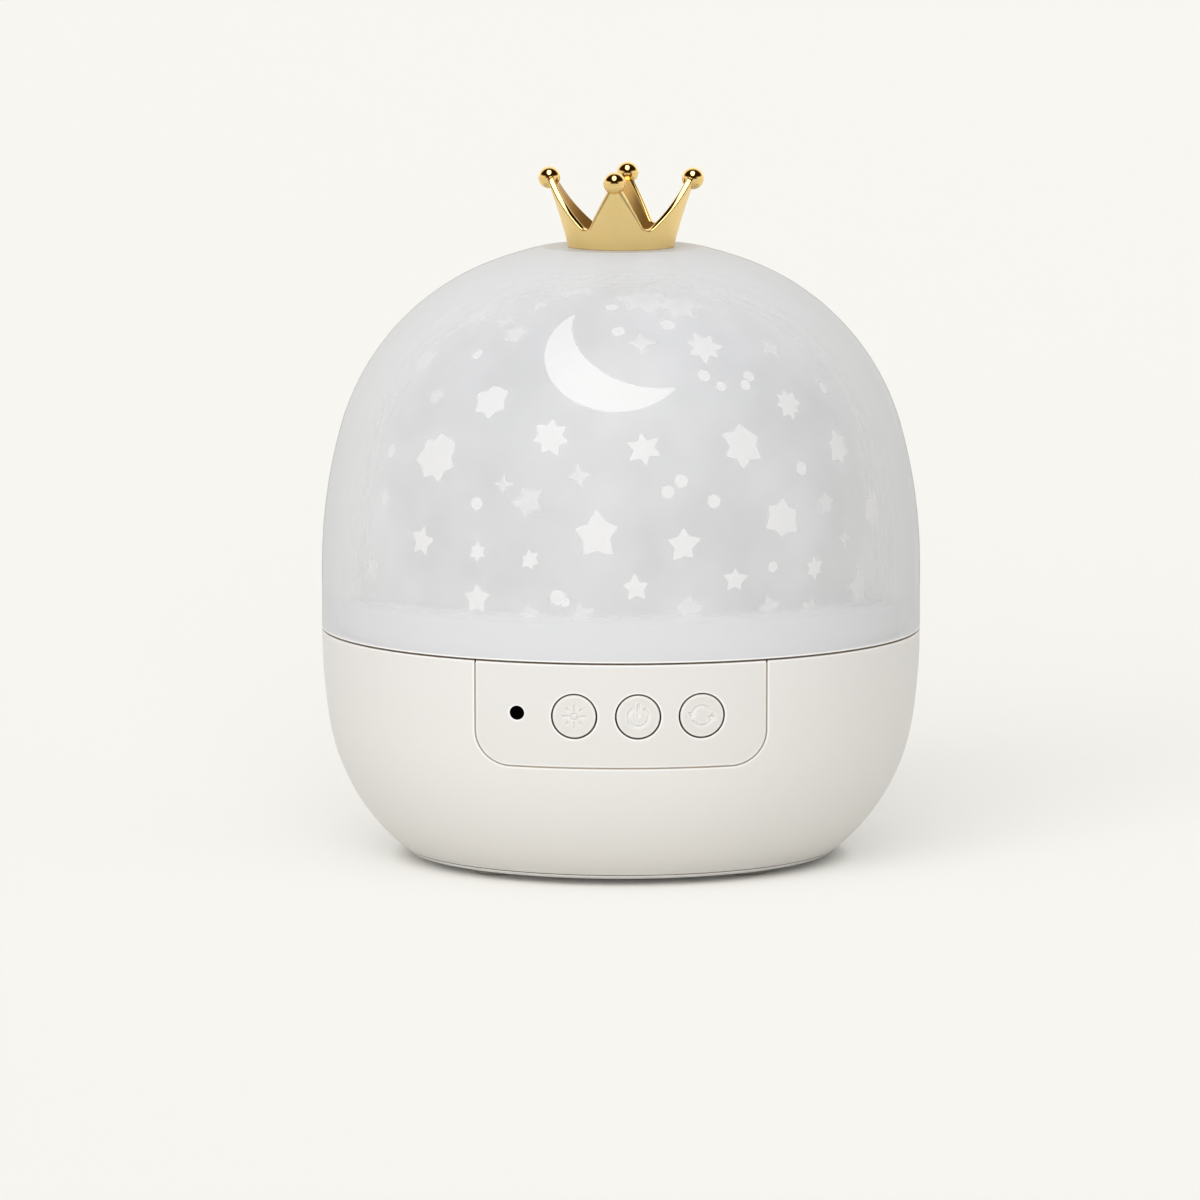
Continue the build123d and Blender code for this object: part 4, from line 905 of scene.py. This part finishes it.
# %% Strokes of the icons
def icon_bar(mesh, start, end, width, tip=1.0):
    """A straight bar between two distances from the middle. tip is its width at the end, as a share."""
    made = bmesh.ops.create_grid(mesh, x_segments=1, y_segments=4, size=1.0)
    for vert in made["verts"]:
        share = (vert.co.y + 1) / 2
        narrow = 1 + (tip - 1) * share
        vert.co = (vert.co.x * width / 2 * narrow, start + (end - start) * share, 0)
    return made["verts"]


def icon_arc(mesh, radius, width, start, end, head=0.0):
    """An arc in degrees clockwise from the top. head is the angle that its arrow head takes at the end."""
    head_width, head_tip = 2.0, 0.03
    made = bmesh.ops.create_grid(mesh, x_segments=32, y_segments=1, size=1.0)
    for vert in made["verts"]:
        angle = start + (end - start) * (vert.co.x + 1) / 2
        left = abs(end - angle)
        half = width / 2 if left >= head else width * head_width * left / head + head_tip
        reach = radius + vert.co.y * half
        vert.co = (reach * math.sin(math.radians(angle)), reach * math.cos(math.radians(angle)), 0)


# %% The three icons
def sun_icon(mesh):
    """A ring with four long rays and four short ones between them."""
    icon_arc(mesh, 0.62, 0.26, 0, 360)
    for ray in range(8):
        verts = icon_bar(mesh, 1.45, 2.2, 0.40) if ray % 2 else icon_bar(mesh, 0.9, 2.3, 0.42, 0.7)
        turn = Matrix.Rotation(ray * math.pi / 4, 3, "Z")
        bmesh.ops.rotate(mesh, verts=verts, cent=(0, 0, 0), matrix=turn)


def power_icon(mesh):
    """An open ring with a bar through its gap."""
    icon_arc(mesh, 1.9, 0.50, 36, 324)
    icon_bar(mesh, 0.0, 2.5, 0.50)


def turn_icon(mesh):
    """Two arrows that chase each other round a circle."""
    icon_arc(mesh, 1.9, 0.46, 62, -104, 36)
    icon_arc(mesh, 1.9, 0.46, 242, 76, 36)


# %% [markdown]
# ## Engraving
# The icon's strokes are laid a groove's depth below the button's curved face and thickened until they stand
# out of it. That is the cutter, and a Boolean takes it away from a merged copy of the button. Booleans
# leave crumbs, so the result is triangulated, its tiny edges are dissolved, and faces that touch nothing
# else are deleted.

# %% Engraving
button_z = 35.0
groove_depth, cutter_reach = 0.20, 0.3
crease = math.radians(30)


def icon_cutter(node, button_x, draw):
    """The icon's strokes as solids that reach into the button's face."""
    corners = [v.co for v in node.data.vertices]
    surface = BVHTree.FromPolygons(corners, [p.vertices for p in node.data.polygons])
    sheet = bmesh.new()
    draw(sheet)
    for vert in sheet.verts:
        x, z = (button_x + vert.co.x) * MM, (button_z + vert.co.y) * MM
        hit = surface.ray_cast(Vector((x, -0.1, z)), Vector((0, 1, 0)))[0]
        vert.co = (x, hit.y + groove_depth * MM, z)
    bmesh.ops.remove_doubles(sheet, verts=sheet.verts, dist=0.004 * MM)
    sheet.normal_update()
    bmesh.ops.reverse_faces(sheet, faces=[f for f in sheet.faces if f.normal.y < 0])
    bmesh.ops.solidify(sheet, geom=sheet.faces[:], thickness=(groove_depth + cutter_reach) * MM)
    bmesh.ops.recalc_face_normals(sheet, faces=sheet.faces)
    data = bpy.data.meshes.new("cutter")
    sheet.to_mesh(data)
    sheet.free()
    cutter = bpy.data.objects.new("cutter", data)
    bpy.context.scene.collection.objects.link(cutter)
    return cutter


def clean_cut(data):
    """Takes the crumbs of a Boolean out of a mesh."""
    neat = bmesh.new()
    neat.from_mesh(data)
    bmesh.ops.remove_doubles(neat, verts=neat.verts, dist=0.003 * MM)
    bmesh.ops.triangulate(neat, faces=neat.faces)
    bmesh.ops.dissolve_degenerate(neat, edges=neat.edges, dist=0.002 * MM)
    slivers = [f for f in neat.faces if len({g for e in f.edges for g in e.link_faces}) <= 2]
    bmesh.ops.delete(neat, geom=slivers, context="FACES")
    neat.to_mesh(data)
    neat.free()
    data.materials.clear()
    data.materials.append(button_cream)
    data.shade_smooth()
    data.set_sharp_from_angle(angle=crease)


def engrave(label, button_x, draw):
    """A copy of a button with its icon cut into the face."""
    node = nodes[f"button_{label}"]
    cutter = icon_cutter(node, button_x, draw)
    cap = bmesh.new()
    cap.from_mesh(node.data)
    bmesh.ops.remove_doubles(cap, verts=cap.verts, dist=0.002 * MM)
    button = make_piece(f"engraved_{label}_button", cap, f"{label}_button", button_cream)
    cut = button.modifiers.new("cut", "BOOLEAN")
    cut.object = cutter
    cut.solver = "EXACT"
    cut_button = button.evaluated_get(bpy.context.evaluated_depsgraph_get())
    carved = bpy.data.meshes.new_from_object(cut_button)
    clean_cut(carved)
    button.modifiers.clear()
    button.data = carved
    bpy.data.objects.remove(cutter)
    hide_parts(f"button_{label}")
    print(label, "button's faces with its icon:", len(carved.polygons))


engrave("light", -8.85, sun_icon)
engrave("power", 3.25, power_icon)
engrave("rotate", 15.3, turn_icon)

# %% [markdown]
# ## Flange of the control panel
# The panel drops into a window of the base and leaves a fine gap all round. A moulded flange closes that
# gap a little below the surface, so the line looks like a shallow groove and not like a slot into the dark.
# A narrow strip follows the middle of the gap, and its depth comes from the parts on both sides.

# %% Line of the gap
gap_half, gap_low, gap_bend, gap_top = 27.65, 24.95, 6.65, 44.6
flat_run = gap_half - gap_bend
quarter_run = gap_bend * math.pi / 2
side_run = gap_top - gap_low - gap_bend
half_run = flat_run + quarter_run + side_run


def gap_point(distance):
    """Point and outward direction of the gap's line, seen from the front, from the middle of its foot."""
    side, run = math.copysign(1, distance), abs(distance)
    if run < flat_run:
        return Vector((side * run, gap_low)), Vector((0, -1))
    angle = (run - flat_run) / gap_bend
    if angle < math.pi / 2:
        out = Vector((side * math.sin(angle), -math.cos(angle)))
        return Vector((side * flat_run, gap_low + gap_bend)) + out * gap_bend, out
    return Vector((side * gap_half, gap_low + gap_bend + run - flat_run - quarter_run)), Vector((side, 0))


print("gap's length in mm:", round(2 * half_run, 1))

# %% Depth of the gap's sides
sides_of_gap = [v.co for n in ("base_shell", "control_panel") for v in nodes[n].data.vertices]
shell_count = len(nodes["base_shell"].data.vertices)
gap_faces = [tuple(p.vertices) for p in nodes["base_shell"].data.polygons]
gap_faces += [tuple(i + shell_count for i in p.vertices) for p in nodes["control_panel"].data.polygons]
both_sides = BVHTree.FromPolygons(sides_of_gap, gap_faces)


def front_depth(x, z):
    """Y of the parts' surface behind a point of the front, in millimetres."""
    hit = both_sides.ray_cast(Vector((x * MM, -0.1, z * MM)), Vector((0, 1, 0)))[0]
    return hit.y / MM


print("faces of the two parts:", len(gap_faces))

# %% Flange
flange_width, flange_depth, flange_wall = 0.5, 0.28, 0.15
# Its depth is read this far on both sides of the gap's line, and only below the seam.
side_step, highest_side = 0.6, 44.8
flange_mesh = bmesh.new()
bmesh.ops.create_grid(flange_mesh, x_segments=240, y_segments=1, size=1.0)
for vert in flange_mesh.verts:
    point, out = gap_point(vert.co.x * half_run)
    beside_gap = [point + out * beside for beside in (-side_step, side_step)]
    depths = [front_depth(*side) for side in beside_gap if side.y < highest_side]
    place = point + out * (vert.co.y * flange_width / 2)
    deep = Vector((place.x, sum(depths) / len(depths), 0))
    deep -= deep.normalized() * flange_depth
    vert.co = Vector((deep.x, deep.y, place.y)) * MM
bmesh.ops.recalc_face_normals(flange_mesh, faces=flange_mesh.faces)
# The panel's ABS with the shade of its groove painted in: darker and warmer than the faces beside it, and
# duller.
flange_shaded_abs = moulded("flange_shaded_abs", "#cdc3b2", roughness=0.5)
flange = make_piece("panel_flange", flange_mesh, "base", flange_shaded_abs)
thick = flange.modifiers.new("thick", "SOLIDIFY")
thick.thickness = flange_wall * MM
